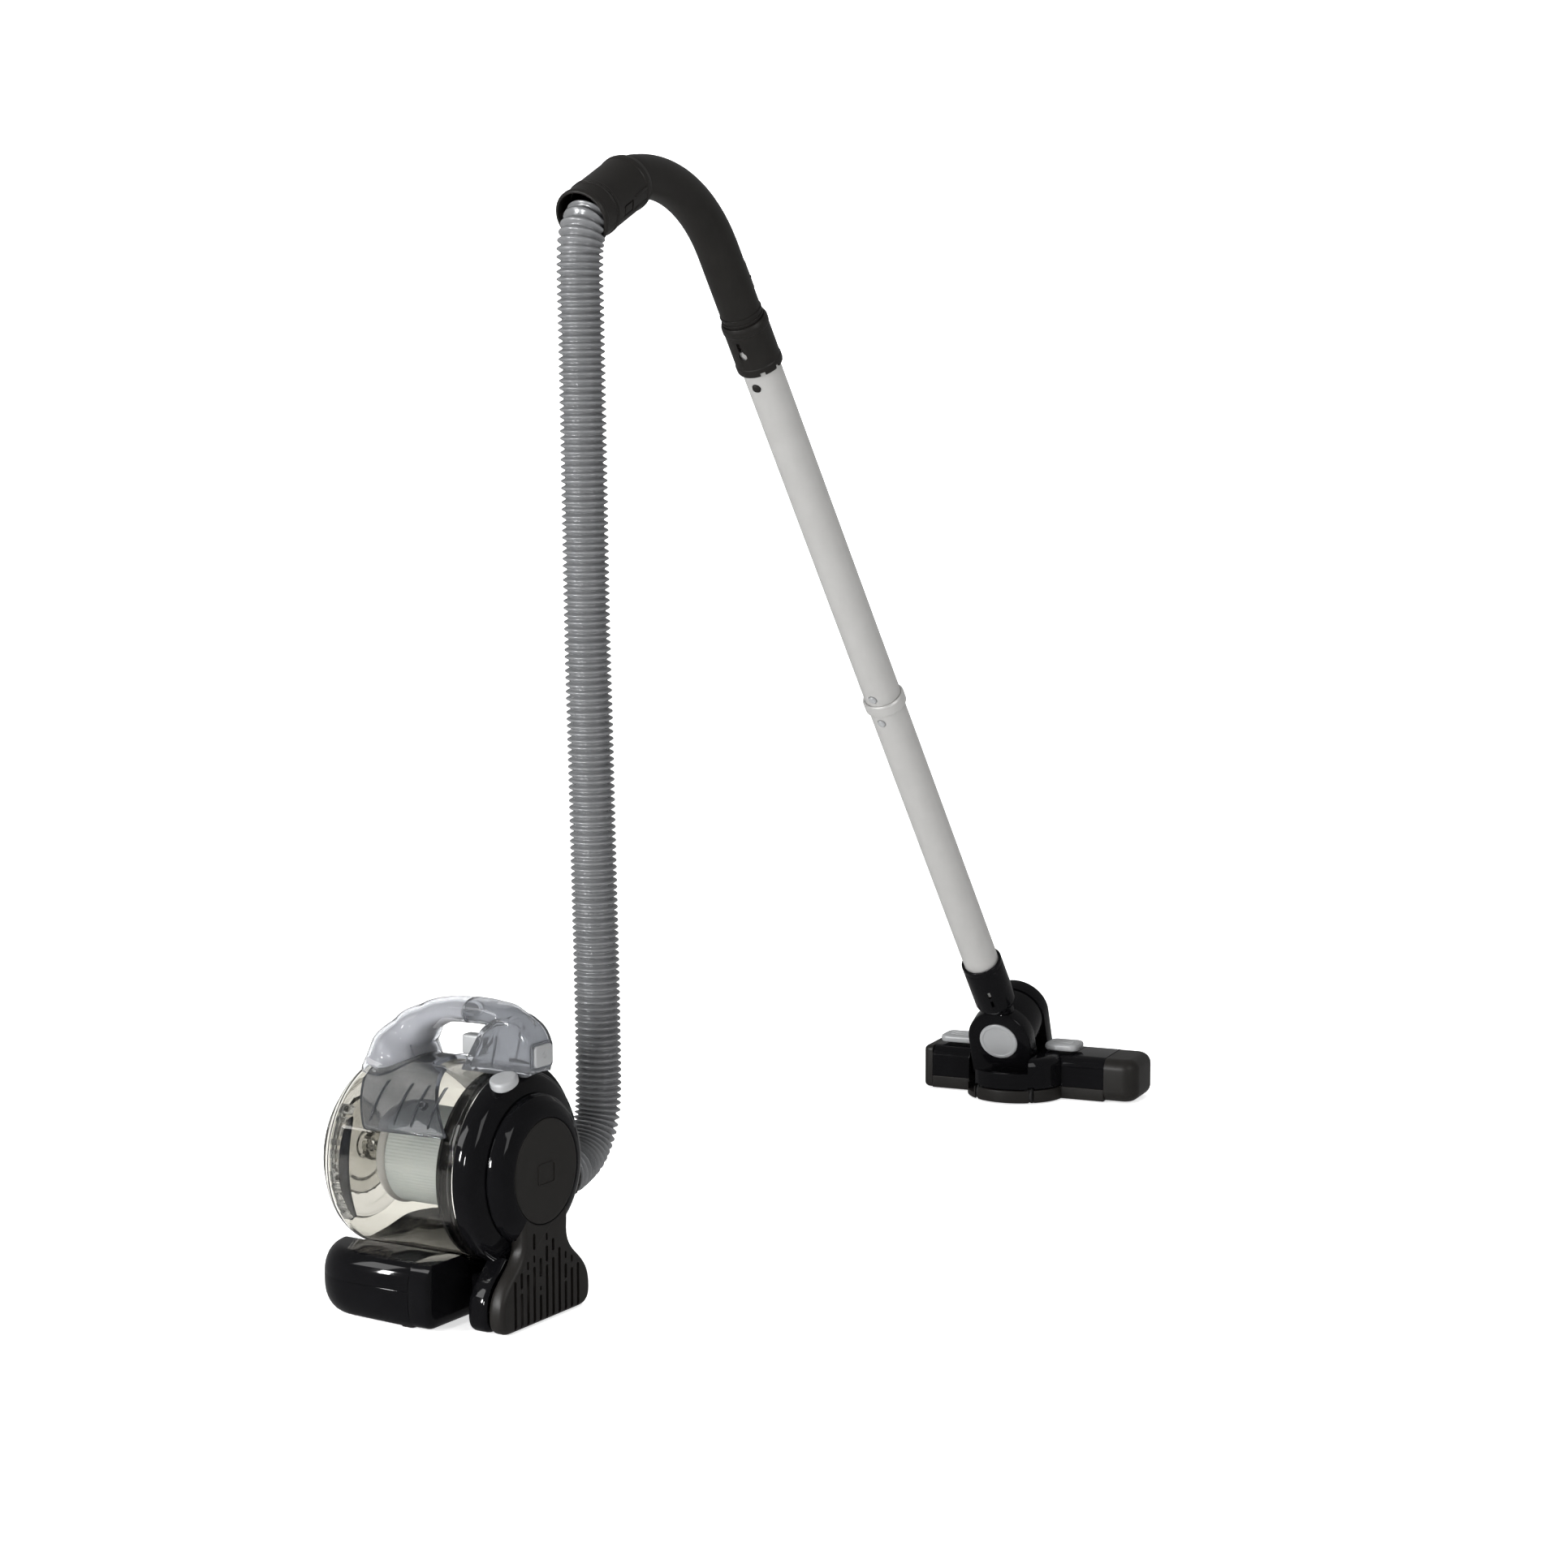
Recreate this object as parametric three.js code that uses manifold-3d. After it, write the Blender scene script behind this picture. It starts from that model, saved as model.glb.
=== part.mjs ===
// Canister vacuum cleaner, cordless: a clear dust bowl and motor housing on a battery base,
// a corrugated hose, a two-piece wand with a bent handle tube, and a floor head on a knuckle.
// Millimetres, +Z up. The origin is on the floor under the canister. +X runs along the
// canister's axis toward its motor end, and +Y runs toward the wand and the floor head.
import * as THREE from 'three';
import { mergeVertices } from 'three/addons/utils/BufferGeometryUtils.js';
import Module from 'manifold-3d';

const wasm = await Module();
wasm.setup();

// ---- driving dimensions ----
const GAP = 0.3;                 // clearance between touching pieces
const AXIS_Z = 119;              // height of the canister's axis
const BOWL_R = 76;               // outside radius of the clear bowl
const BOWL_BACK = 50;            // rear edge of the bowl
const BOWL_FRONT = -85;          // front edge of the bowl
const WALL = 2;                  // moulded wall of the bowl
const DISC_R = 41.6;             // rear disc recess
const REAR_X = 84.6;             // rear face of the canister
const BASE_TOP = 55;             // battery base height at its sides
const BASE_HALF = 86;            // half width of the battery base
const BASE_NOSE = -91;           // front of the battery base
const BASE_REAR = 33.5;          // rear face of the battery base
const PORT_X = 22;               // hose port on the far side of the canister
const PORT_Z = 86;
const PORT_Y = 92;
const HOSE_R = 19;               // outside radius of the corrugations
const WAND_X = 20;               // the wand and the hose hang in this plane
const WAND_LEAN = 35.71;         // the wand leans this far from upright, degrees
const WAND_FOOT = [WAND_X, 905.3, 70.9];   // point on the wand's axis inside the knuckle
const TUBE_R = 17.5;
const TUBE_WALL = 1.5;
const JOINT_S = 441;             // where the two wand tubes meet, measured from the foot
const SOCKET_LOW = 824;
const SOCKET_HIGH = 873;
const BEND_R = 135;              // centreline radius of the handle tube's bend
const CUFF_RIM = [WAND_X, 150.5, 853.5];
const CUFF_RISE = 26;            // the cuff's axis rises this much from level, degrees
const CUFF_R = 24;
const HEAD_YAW = 8;              // the head is turned this much about Z, degrees
const HEAD_AT = [38, 931, 0];
const KNUCKLE_AT = [16, 919, 73];
const KNUCKLE_TILT = 21.8;       // the knuckle's axis dips this much toward the canister
const KNUCKLE_R = 33;
const PIVOT_V = -6;              // pitch axle of the head, in the head's own frame
const PIVOT_Z = 36;

const rad = THREE.MathUtils.degToRad;

// ---- materials ----
const paint = (color, roughness, metalness = 0) =>
  new THREE.MeshStandardMaterial({ color, roughness, metalness });
const clear = (color, opacity) =>
  new THREE.MeshStandardMaterial({ color, roughness: 0.08, transparent: true, opacity });
const GLOSS_BLACK = paint('#0b0b0d', 0.12);
const MATTE_BLACK = paint('#2b2a29', 0.6);
const CLEAR_BOWL = clear('#c9c7bb', 0.35);
const SMOKE = clear('#6e7278', 0.6);
const SILVER = paint('#a3a5aa', 0.35, 0.3);
const LINER = paint('#aeaaae', 0.4);
const FILTER_WHITE = paint('#bcc4c4', 0.7);
const RUBBER = paint('#161616', 0.85);
const WAND_METAL = paint('#cdccc8', 0.35, 0.6);
const HOSE_GREY = paint('#7c7e81', 0.35);
const STEEL = paint('#8a8d90', 0.3, 0.9);
const CIRCUIT = paint('#1f5a36', 0.6);
const CELL_WRAP = paint('#2f6fa8', 0.4);

// ---- solids ----
function closed(geometry) {
  const bare = geometry.index ? geometry.clone() : geometry;
  bare.deleteAttribute('normal');
  bare.deleteAttribute('uv');
  const merged = mergeVertices(bare, 1e-4);
  const place = merged.attributes.position;
  const index = merged.index.array;
  const kept = [];
  let volume = 0;
  const a = new THREE.Vector3();
  const b = new THREE.Vector3();
  const c = new THREE.Vector3();
  for (let i = 0; i < index.length; i += 3) {
    const [p, q, r] = [index[i], index[i + 1], index[i + 2]];
    if (p === q || q === r || r === p) continue;
    kept.push(p, q, r);
    a.fromBufferAttribute(place, p);
    b.fromBufferAttribute(place, q);
    c.fromBufferAttribute(place, r);
    volume += a.dot(b.cross(c));
  }
  if (volume < 0) {
    for (let i = 0; i < kept.length; i += 3) {
      [kept[i + 1], kept[i + 2]] = [kept[i + 2], kept[i + 1]];
    }
  }
  merged.setIndex(kept);
  return merged;
}

function toManifold(geometry) {
  const solid = closed(geometry);
  return new wasm.Manifold(new wasm.Mesh({
    numProp: 3,
    vertProperties: new Float32Array(solid.attributes.position.array),
    triVerts: new Uint32Array(solid.index.array),
  }));
}

function fromManifold(manifold) {
  const mesh = manifold.getMesh();
  const geometry = new THREE.BufferGeometry();
  geometry.setAttribute('position', new THREE.BufferAttribute(mesh.vertProperties, 3));
  geometry.setIndex(new THREE.BufferAttribute(mesh.triVerts, 1));
  return geometry;
}

function combine(how, first, others) {
  let result = toManifold(first);
  for (const other of others) result = result[how](toManifold(other));
  return fromManifold(result);
}
const join = (first, ...others) => combine('add', first, others);
const cut = (first, ...tools) => combine('subtract', first, tools);
const overlap = (first, ...others) => combine('intersect', first, others);

// a turned shape about X: the profile's points are [x, radius]
function turnedX(profile, sides = 32) {
  const points = profile.map(([x, r]) => new THREE.Vector2(r, x));
  return new THREE.LatheGeometry(points, sides).rotateZ(-Math.PI / 2);
}
// a turned shape about Z: the profile's points are [height, radius]
function turnedZ(profile, sides = 24) {
  const points = profile.map(([z, r]) => new THREE.Vector2(r, z));
  return new THREE.LatheGeometry(points, sides).rotateX(Math.PI / 2);
}
const rod = (low, high, radius) => [[low, 0], [low, radius], [high, radius], [high, 0]];
const ring = (low, high, inner, outer) =>
  [[low, inner], [low, outer], [high, outer], [high, inner], [low, inner]];

function box(x0, x1, y0, y1, z0, z1) {
  return new THREE.BoxGeometry(x1 - x0, y1 - y0, z1 - z0)
    .translate((x0 + x1) / 2, (y0 + y1) / 2, (z0 + z1) / 2);
}

// a box with rounded upright edges, or with all its edges eased
function plate(x0, x1, y0, y1, z0, z1, corner, ease = 0, rounds = 2) {
  const shape = new THREE.Shape();
  const [l, r, f, b] = [x0 + ease, x1 - ease, y0 + ease, y1 - ease];
  const c = Math.max(corner - ease, 0.1);
  shape.moveTo(l + c, f);
  shape.lineTo(r - c, f);
  shape.absarc(r - c, f + c, c, -Math.PI / 2, 0);
  shape.lineTo(r, b - c);
  shape.absarc(r - c, b - c, c, 0, Math.PI / 2);
  shape.lineTo(l + c, b);
  shape.absarc(l + c, b - c, c, Math.PI / 2, Math.PI);
  shape.lineTo(l, f + c);
  shape.absarc(l + c, f + c, c, Math.PI, 1.5 * Math.PI);
  return new THREE.ExtrudeGeometry(shape, {
    depth: z1 - z0 - 2 * ease,
    curveSegments: rounds,
    bevelEnabled: ease > 0,
    bevelThickness: ease,
    bevelSize: ease,
    bevelSegments: ease > 4 ? 2 : 1,
  }).translate(0, 0, z0 + ease);
}

// a tube of round section along a smooth curve through the points
function pipe(points, radius, steps, sides = 16, bore = 0) {
  const curve = new THREE.CatmullRomCurve3(points.map((p) => new THREE.Vector3(...p)));
  const shape = new THREE.Shape();
  shape.absarc(0, 0, radius, 0, 2 * Math.PI);
  if (bore > 0) {
    const hole = new THREE.Path();
    hole.absarc(0, 0, bore, 0, 2 * Math.PI, true);
    shape.holes.push(hole);
  }
  return new THREE.ExtrudeGeometry(shape, {
    extrudePath: curve,
    steps,
    curveSegments: sides / 2,
    bevelEnabled: false,
  });
}

// a closed skin over rings of equal count, capped at both ends
function loft(rings) {
  const count = rings[0].length;
  const places = rings.flat(2);
  const faces = [];
  for (let i = 0; i < rings.length - 1; i += 1) {
    for (let j = 0; j < count; j += 1) {
      const k = (j + 1) % count;
      const [a, b] = [i * count + j, i * count + k];
      faces.push(a, b, b + count, a, b + count, a + count);
    }
  }
  for (let j = 1; j < count - 1; j += 1) {
    const last = (rings.length - 1) * count;
    faces.push(0, j + 1, j, last, last + j, last + j + 1);
  }
  const geometry = new THREE.BufferGeometry();
  geometry.setAttribute('position', new THREE.Float32BufferAttribute(places, 3));
  geometry.setIndex(faces);
  return geometry;
}

// rings for a limb in the XZ plane: each station is [x, z, half thickness, half width]
function limbRings(stations, count = 14, power = 0.8) {
  return stations.map(([x, z, thick, wide], i) => {
    const before = stations[Math.max(i - 1, 0)];
    const after = stations[Math.min(i + 1, stations.length - 1)];
    const along = new THREE.Vector2(after[0] - before[0], after[1] - before[1]).normalize();
    const points = [];
    for (let j = 0; j < count; j += 1) {
      const turn = (2 * Math.PI * j) / count;
      const c = Math.sign(Math.cos(turn)) * Math.abs(Math.cos(turn)) ** power;
      const s = Math.sign(Math.sin(turn)) * Math.abs(Math.sin(turn)) ** power;
      points.push([x - along.y * thick * c, wide * s, z + along.x * thick * c]);
    }
    return points;
  });
}

const names = new Set();
function piece(group, name, geometry, material) {
  if (names.has(name)) throw new Error(`two pieces are called ${name}`);
  names.add(name);
  const mesh = new THREE.Mesh(closed(geometry), material);
  mesh.name = name;
  group.add(mesh);
  return mesh;
}

const vacuum = new THREE.Group();
const barrel = new THREE.Group();       // pieces on the canister's axis
barrel.position.set(0, 0, AXIS_Z);
const stand = new THREE.Group();        // battery base, in the object's own frame
const handle = new THREE.Group();
vacuum.add(barrel, stand, handle);

// a solid drum about the canister's axis, used as a cutting tool in the object's frame
const drum = (radius, x0, x1, sides = 40) =>
  turnedX(rod(x0, x1, radius), sides).translate(0, 0, AXIS_Z);

// ---- rear column outline, in the YZ plane, grown or shrunk by inset ----
function columnShape(inset, top) {
  const foot = 60 - inset;
  const waist = 30 - inset;
  const floor = inset;
  const shape = new THREE.Shape();
  shape.moveTo(-foot + 14, floor);
  shape.lineTo(foot - 14, floor);
  shape.quadraticCurveTo(foot, floor, foot, floor + 14);
  shape.bezierCurveTo(foot + 1, 44, waist, 44, waist, 68);
  shape.lineTo(waist, top);
  shape.lineTo(-waist, top);
  shape.lineTo(-waist, 68);
  shape.bezierCurveTo(-waist, 44, -foot - 1, 44, -foot, floor + 14);
  shape.quadraticCurveTo(-foot, floor, -foot + 14, floor);
  return shape;
}
function column(inset, x0, x1, top) {
  return new THREE.ExtrudeGeometry(columnShape(inset, top), {
    depth: x1 - x0, bevelEnabled: false, curveSegments: 5,
  }).rotateX(Math.PI / 2).rotateZ(Math.PI / 2).translate(x0, 0, 0);
}

// ---- motor housing: gloss front shell with the column's side walls ----
const SHELL_SPLIT = 70;          // where the gloss shell meets the matte rear cover
const LATCH_TURN = rad(20);      // the latch sits this far round from the top, near side
const COLUMN_WALL = 2.6;
const VENT_PITCH = 8.4;
const VENT_HALF = 1.6;           // half width of an air slot
const VENT_TOPS = [41, 52, 58, 60, 66, 62, 62, 60, 58, 54, 46];   // heights the slots reach
const BULKHEAD_BACK = BOWL_BACK - GAP;
function motorHousing() {
  const bulge = turnedX([
    [BOWL_BACK + GAP, 72.4], [BOWL_BACK + GAP, BOWL_R], [58, BOWL_R], [64, 73.5],
    [68, 67.5], [SHELL_SPLIT, 61], [SHELL_SPLIT, 58.2], [66, 64], [62, 70],
    [56, 72.4], [BOWL_BACK + GAP, 72.4],
  ], 28).translate(0, 0, AXIS_Z);
  const legOutside = cut(column(0, 51, SHELL_SPLIT, 82), drum(73, 40, 90));
  const leg = cut(legOutside, column(COLUMN_WALL, 51 + COLUMN_WALL - 0.2, SHELL_SPLIT + 1, 90));
  const bridge = box(BASE_REAR + GAP, 52, -32, 32, 16, 38);
  const latchPocket = plate(50.9, 77, -10, 10, -4, 5, 3)
    .translate(0, 0, 76).rotateX(LATCH_TURN).translate(0, 0, AXIS_Z);
  return cut(join(bulge, leg, bridge), latchPocket);
}

function rearCover() {
  const start = SHELL_SPLIT + GAP;
  const cap = turnedX([
    [start, 55.6], [start, 58.4], [75, 57.8], [79.5, 54.5], [83.2, 48.5], [REAR_X, DISC_R + 1.4],
    [REAR_X, DISC_R], [82, DISC_R], [82, 0], [79.4, 0], [79.4, 47], [76.5, 52.4],
    [start, 55.6],
  ], 28).translate(0, 0, AXIS_Z);
  const outer = cut(column(0, start, REAR_X, 82), drum(56.5, 60, 90));
  const inner = column(COLUMN_WALL, start - 1, REAR_X - COLUMN_WALL, 90);
  const slots = [];
  VENT_TOPS.forEach((top, i) => {
    const y = (i - 5) * VENT_PITCH;
    slots.push(box(REAR_X - 4, REAR_X + 2, y - VENT_HALF, y + VENT_HALF, 9, top));
  });
  return cut(join(cap, cut(outer, inner)), ...slots);
}

piece(stand, 'motor_housing', motorHousing(), GLOSS_BLACK);
piece(stand, 'rear_cover', rearCover(), MATTE_BLACK);
piece(barrel, 'rear_disc', turnedX([
  [82 + GAP, 0], [82 + GAP, DISC_R - 0.5], [REAR_X - 0.6, DISC_R - 0.5], [REAR_X, DISC_R - 1.6],
  [REAR_X, 0],
], 28), MATTE_BLACK);
piece(barrel, 'motor_bulkhead', turnedX([
  [BULKHEAD_BACK, 20], [BULKHEAD_BACK, 73.4], [36.5, 73.4], [36.5, 70.4], [46, 70.4], [46, 20],
  [BULKHEAD_BACK, 20],
], 28), GLOSS_BLACK);
piece(barrel, 'bowl_seal', turnedX(ring(33.6, 36.2, 70.6, 73.3), 32), RUBBER);
piece(barrel, 'fan_impeller', turnedX([
  [51.5, 6], [51.5, 20], [53.5, 40], [56.5, 44], [57.8, 44], [57.8, 2.9], [55, 2.9], [51.5, 6],
], 24), MATTE_BLACK);
piece(barrel, 'motor_shaft', turnedX(rod(51.5, 60.4, 2.5), 12), STEEL);
piece(barrel, 'motor', turnedX([
  [60.8, 0], [60.8, 23], [62.3, 24.5], [77, 24.5], [78.6, 22], [78.6, 0],
], 24), STEEL);

// ---- clear bowl, its door and the filter ----
const BOWL_OUT = [[-62, BOWL_R], [-70, 74.5], [-77, 70.2], [-82, 64], [BOWL_FRONT, 58]];
const BOWL_IN = [[-83.2, 56.6], [-80.3, 62.6], [-75.6, 68.4], [-69.4, 72.6], [-62, BOWL_R - WALL]];
piece(barrel, 'bowl', turnedX([
  [BOWL_BACK, BOWL_R - WALL], [BOWL_BACK, BOWL_R], ...BOWL_OUT, ...BOWL_IN,
  [BOWL_BACK, BOWL_R - WALL],
], 28), CLEAR_BOWL);
const DOOR_BACK = BOWL_FRONT - GAP;
piece(barrel, 'bowl_door', turnedX([
  [DOOR_BACK, 54], [DOOR_BACK, 59.6], [-87, 59.6], [-89.6, 52], [-90.6, 36], [-90.6, 4.6],
  [-88.2, 4.6], [-88.2, 48], [DOOR_BACK - 1, 51], [DOOR_BACK, 54],
], 28), SMOKE);
piece(barrel, 'filter_wheel', turnedX([
  [-91, 4.2], [-91, 40], [-95.5, 40], [-96.8, 37.5], [-96.8, 30], [-93.4, 27], [-93.4, 12],
  [-96, 9], [-96, 4.2], [-91, 4.2],
], 24), SMOKE);
piece(barrel, 'wheel_spindle', turnedX([
  [-97.4, 0], [-97.4, 3.8], [-86, 3.8], [-86, 12], [-80, 12], [-80, 4], [-62, 4], [-62, 0],
], 16), SILVER);
piece(barrel, 'filter_frame', turnedX([
  [31, 26], [31, 38], [41, 38], [41, 41.5], [45.7, 41.5], [45.7, 26], [31, 26],
], 24), FILTER_WHITE);
piece(barrel, 'filter_cap', turnedX([
  [-42.3, 0], [-42.3, 40], [-47, 41], [-51, 39], [-53, 33], [-53, 0],
], 28), LINER);
piece(barrel, 'filter_sleeve', turnedX(ring(-42, 31 - GAP, 36.5, 39), 24), FILTER_WHITE);

// ---- battery base ----
const BASE_FLOOR = 3;            // the base stands this far up on its rest pad and feet
const BASE_SPLIT = 33;           // parting line between its upper and lower shells
const CAP_SPLIT = 15;            // the rear end cap starts here
const BASE_CORNER = 48;          // plan radius of the nose corners
const BASE_EASE = 12;            // how far the rounded edges come in from the sides
const BASE_ROUND = 18;           // and how far they come down from the top
function baseBlock(inset) {
  const shape = new THREE.Shape();
  const half = BASE_HALF - BASE_EASE - inset;
  const nose = BASE_NOSE + BASE_EASE + inset;
  const back = BASE_REAR - inset - 4;
  const corner = BASE_CORNER - BASE_EASE;
  shape.moveTo(back, -half);
  shape.lineTo(back, half);
  shape.lineTo(nose + corner, half);
  shape.absarc(nose + corner, half - corner, corner, Math.PI / 2, Math.PI);
  shape.absarc(nose + corner, -half + corner, corner, Math.PI, 1.5 * Math.PI);
  return new THREE.ExtrudeGeometry(shape, {
    depth: BASE_TOP - BASE_FLOOR - 2 * BASE_ROUND - 2 * inset,
    curveSegments: 5,
    bevelEnabled: true,
    bevelThickness: BASE_ROUND,
    bevelSize: BASE_EASE,
    bevelSegments: 3,
  }).translate(0, 0, BASE_FLOOR + BASE_ROUND + inset);
}
const cradle = drum(BOWL_R + 1.2, -120, 60, 32);
const trimmedBase = overlap(cut(baseBlock(0), cradle), box(-120, BASE_REAR, -100, 100, 0, 60));
const cellBay = box(-78, 10, -62, 62, 6, 38);
const baseShell = (x0, x1, z0, z1) => overlap(trimmedBase, box(x0, x1, -100, 100, z0, z1));
const restPad = plate(-30, CAP_SPLIT - 1, -30, 30, 0, BASE_FLOOR + 2, 8);
piece(stand, 'base_lower_shell', cut(join(
  baseShell(-120, CAP_SPLIT - GAP / 2, 0, BASE_SPLIT - GAP / 2), restPad), cellBay), GLOSS_BLACK);
piece(stand, 'base_upper_shell', cut(
  baseShell(-120, CAP_SPLIT - GAP / 2, BASE_SPLIT + GAP / 2, 60), cellBay), GLOSS_BLACK);
const SOCKET_AT = [BASE_REAR, 56, 24];
const socketBore = turnedX(rod(20, 40, 5.8), 16).translate(0, SOCKET_AT[1], SOCKET_AT[2]);
piece(stand, 'base_rear_cap', cut(
  baseShell(CAP_SPLIT + GAP / 2, 60, 0, 60), socketBore), GLOSS_BLACK);
piece(stand, 'charge_socket', turnedX([
  [20.4, 0], [20.4, 5.5], [BASE_REAR + 0.6, 5.5], [BASE_REAR + 0.6, 3], [BASE_REAR, 3], [BASE_REAR, 0],
], 16).translate(0, SOCKET_AT[1], SOCKET_AT[2]), MATTE_BLACK);
[[2, -66], [2, 66]].forEach(([x, y], i) => {
  piece(stand, `rest_foot_${i + 1}`,
    plate(x - 6, x + 6, y - 5, y + 5, 0, BASE_FLOOR - GAP, 3), RUBBER);
});
[[-62, -34], [-62, 34], [-36, -34], [-36, 34]].forEach(([x, y], i) => {
  piece(stand, `battery_cell_${i + 1}`,
    turnedZ(rod(-27, 27, 9.2), 12).rotateX(Math.PI / 2).translate(x, y, 16), CELL_WRAP);
});
piece(stand, 'circuit_board', box(-66, -8, -50, 50, 28, 29.6), CIRCUIT);

// ---- carrying handle: a front part with a hood over the bowl and a rear part with the switch ----
const GRIP_SPLIT = 17;           // the two handle parts meet here on the grip
const hoodRing = turnedX(ring(-57, 32, BOWL_R + 1.2, BOWL_R + 4.4), 40).translate(0, 0, AXIS_Z);
const hoodSide = new THREE.Shape();
[[-36, 152], [33, 153], [-6, 195], [-10, 210], [-66, 210], [-60, 190]]
  .forEach(([x, z], i) => (i ? hoodSide.lineTo(x, z) : hoodSide.moveTo(x, z)));
const hoodMiddle = overlap(hoodRing, new THREE.ExtrudeGeometry(hoodSide, {
  depth: 140, bevelEnabled: false,
}).rotateX(Math.PI / 2).translate(0, 70, 0));
const flapSide = new THREE.Shape();      // the hood reaches further back on its near side
[[-36, 152], [42, 153], [0, 200], [-50, 190]]
  .forEach(([x, z], i) => (i ? flapSide.lineTo(x, z) : flapSide.moveTo(x, z)));
const flapRing = turnedX(ring(-57, 42, BOWL_R + 1.2, BOWL_R + 4.4), 40).translate(0, 0, AXIS_Z);
const flap = overlap(flapRing, new THREE.ExtrudeGeometry(flapSide, {
  depth: 60, bevelEnabled: false,
}).rotateX(Math.PI / 2).translate(0, -20, 0));
const hood = join(hoodMiddle, flap);
const frontLimb = loft(limbRings([
  [-52, 188, 25, 38], [-48, 203, 23, 32], [-38, 219, 16.5, 22], [-22, 231.5, 11, 16.5],
  [-4, 237.5, 9.8, 15], [12, 238.6, 9.6, 15], [26, 239, 9.6, 15],
]));
const pastSplit = box(GRIP_SPLIT - GAP / 2, 80, -30, 30, 180, 260);
const beforeSplit = box(-80, GRIP_SPLIT + GAP / 2, -30, 30, 225, 260);
const bowlClear = drum(BOWL_R + 1.2, -120, 80, 40);
const LINER_AT = [-47, 0];
const linerBody = (grow) => turnedZ([
  [196.6 - 20 * grow, 0], [196.6 - 20 * grow, 15 + grow], [209, 15 + grow], [212, 12 + grow],
  [220 + grow, 9.5 + grow], [220 + grow, 0],
], 20).translate(LINER_AT[0], LINER_AT[1], 0);
piece(handle, 'handle_front', cut(join(hood, cut(frontLimb, pastSplit)), bowlClear, linerBody(0.5)),
  SMOKE);
piece(handle, 'handle_liner', linerBody(0), LINER);

const rearGrip = loft(limbRings([
  [8, 238.8, 9.6, 15], [24, 239, 9.6, 15], [36, 238.4, 9.8, 15], [50, 234, 12, 16],
  [60, 224, 15, 17], [62, 212, 17, 17],
]));
const REAR_END = 81;             // end face of the handle, where the power button sits
const blockShape = new THREE.Shape();
[[11, 188], [34, 228], [48, 239], [62, 238], [75, 230], [REAR_END, 220], [REAR_END, 199], [77, 188]]
  .forEach(([x, z], i) => (i ? blockShape.lineTo(x, z) : blockShape.moveTo(x, z)));
const rearBlock = new THREE.ExtrudeGeometry(blockShape, { depth: 34, bevelEnabled: false })
  .rotateX(Math.PI / 2).translate(0, 17, 0);
const rearClear = drum(BOWL_R + 1.2, -120, 120, 40);
const POWER_Z = 209.5;
// a plate that faces backwards, its middle on the handle's end face
const facingBack = (half, tall, x0, x1, corner) =>
  plate(-tall / 2, tall / 2, -half, half, x0, x1, corner)
    .rotateY(Math.PI / 2).translate(0, 0, POWER_Z);
const powerPocket = facingBack(12, 18, REAR_END - 4.8, REAR_END + 5, 3);
const SIDE_Z = [204, 220];
const sidePocket = box(8, 29.5, -6.4, 6.4, SIDE_Z[0] - 0.4, SIDE_Z[1] + 0.4);
piece(handle, 'handle_rear', cut(join(cut(rearGrip, beforeSplit), rearBlock),
  rearClear, powerPocket, sidePocket), SMOKE);
piece(handle, 'power_button', facingBack(11.5, 17, REAR_END - 3, REAR_END + 3, 2.6), SILVER);
piece(handle, 'side_button', plate(9, 26.5, -6, 6, ...SIDE_Z, 2.5), SILVER);
piece(barrel, 'bowl_latch', plate(52, 76, -9, 9, -2.6, 5.2, 3.5, 1.5)
  .translate(0, 0, 76).rotateX(LATCH_TURN), SILVER);

// ---- inlet duct on the far side, its collar and the hose ----
function ductRings(grow) {
  const rings = [];
  for (let turn = -30; turn <= 74; turn += 13) {
    const slim = Math.min(1, Math.max(0, (74 - turn) / 54));
    const thick = 2.6 + 5.8 * slim - grow;
    const wide = 24 - grow;
    const middle = BOWL_R + 1.2 + 2.6 + 5.8 * slim;
    const points = [];
    for (let j = 0; j < 12; j += 1) {
      const spin = (2 * Math.PI * j) / 12;
      const out = Math.sign(Math.sin(spin)) * Math.abs(Math.sin(spin)) ** 0.6;
      const side = Math.sign(Math.cos(spin)) * Math.abs(Math.cos(spin)) ** 0.6;
      const r = middle + thick * out;
      const [c, s] = [Math.cos(rad(turn)), Math.sin(rad(turn))];
      points.push([25 + wide * side, r * c, r * s]);
    }
    rings.push(points);
  }
  return rings;
}
const boss = turnedZ(rod(76, PORT_Y - GAP, 23), 24).rotateX(-Math.PI / 2)
  .translate(PORT_X, 0, PORT_Z - AXIS_Z);
const bossBore = turnedZ(rod(82, PORT_Y + 2, 18), 20).rotateX(-Math.PI / 2)
  .translate(PORT_X, 0, PORT_Z - AXIS_Z);
const keepOff = turnedX(rod(-40, 90, BOWL_R + 0.9), 32);
const hoodRoom = box(-10, 35, 0, 100, 28, 100);
const collarRoom = turnedZ(rod(PORT_Y - GAP, PORT_Y + 30, 22.4), 24).rotateX(-Math.PI / 2)
  .translate(PORT_X, 0, PORT_Z - AXIS_Z);
piece(barrel, 'inlet_duct', cut(join(loft(ductRings(0)), boss), keepOff, bossBore, collarRoom, hoodRoom),
  GLOSS_BLACK);
const HOSE_START = PORT_Y + 16;
piece(stand, 'hose_collar', turnedZ(ring(PORT_Y, HOSE_START - GAP, 17.6, 22), 24)
  .rotateX(-Math.PI / 2).translate(PORT_X, 0, PORT_Z), MATTE_BLACK);

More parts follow.
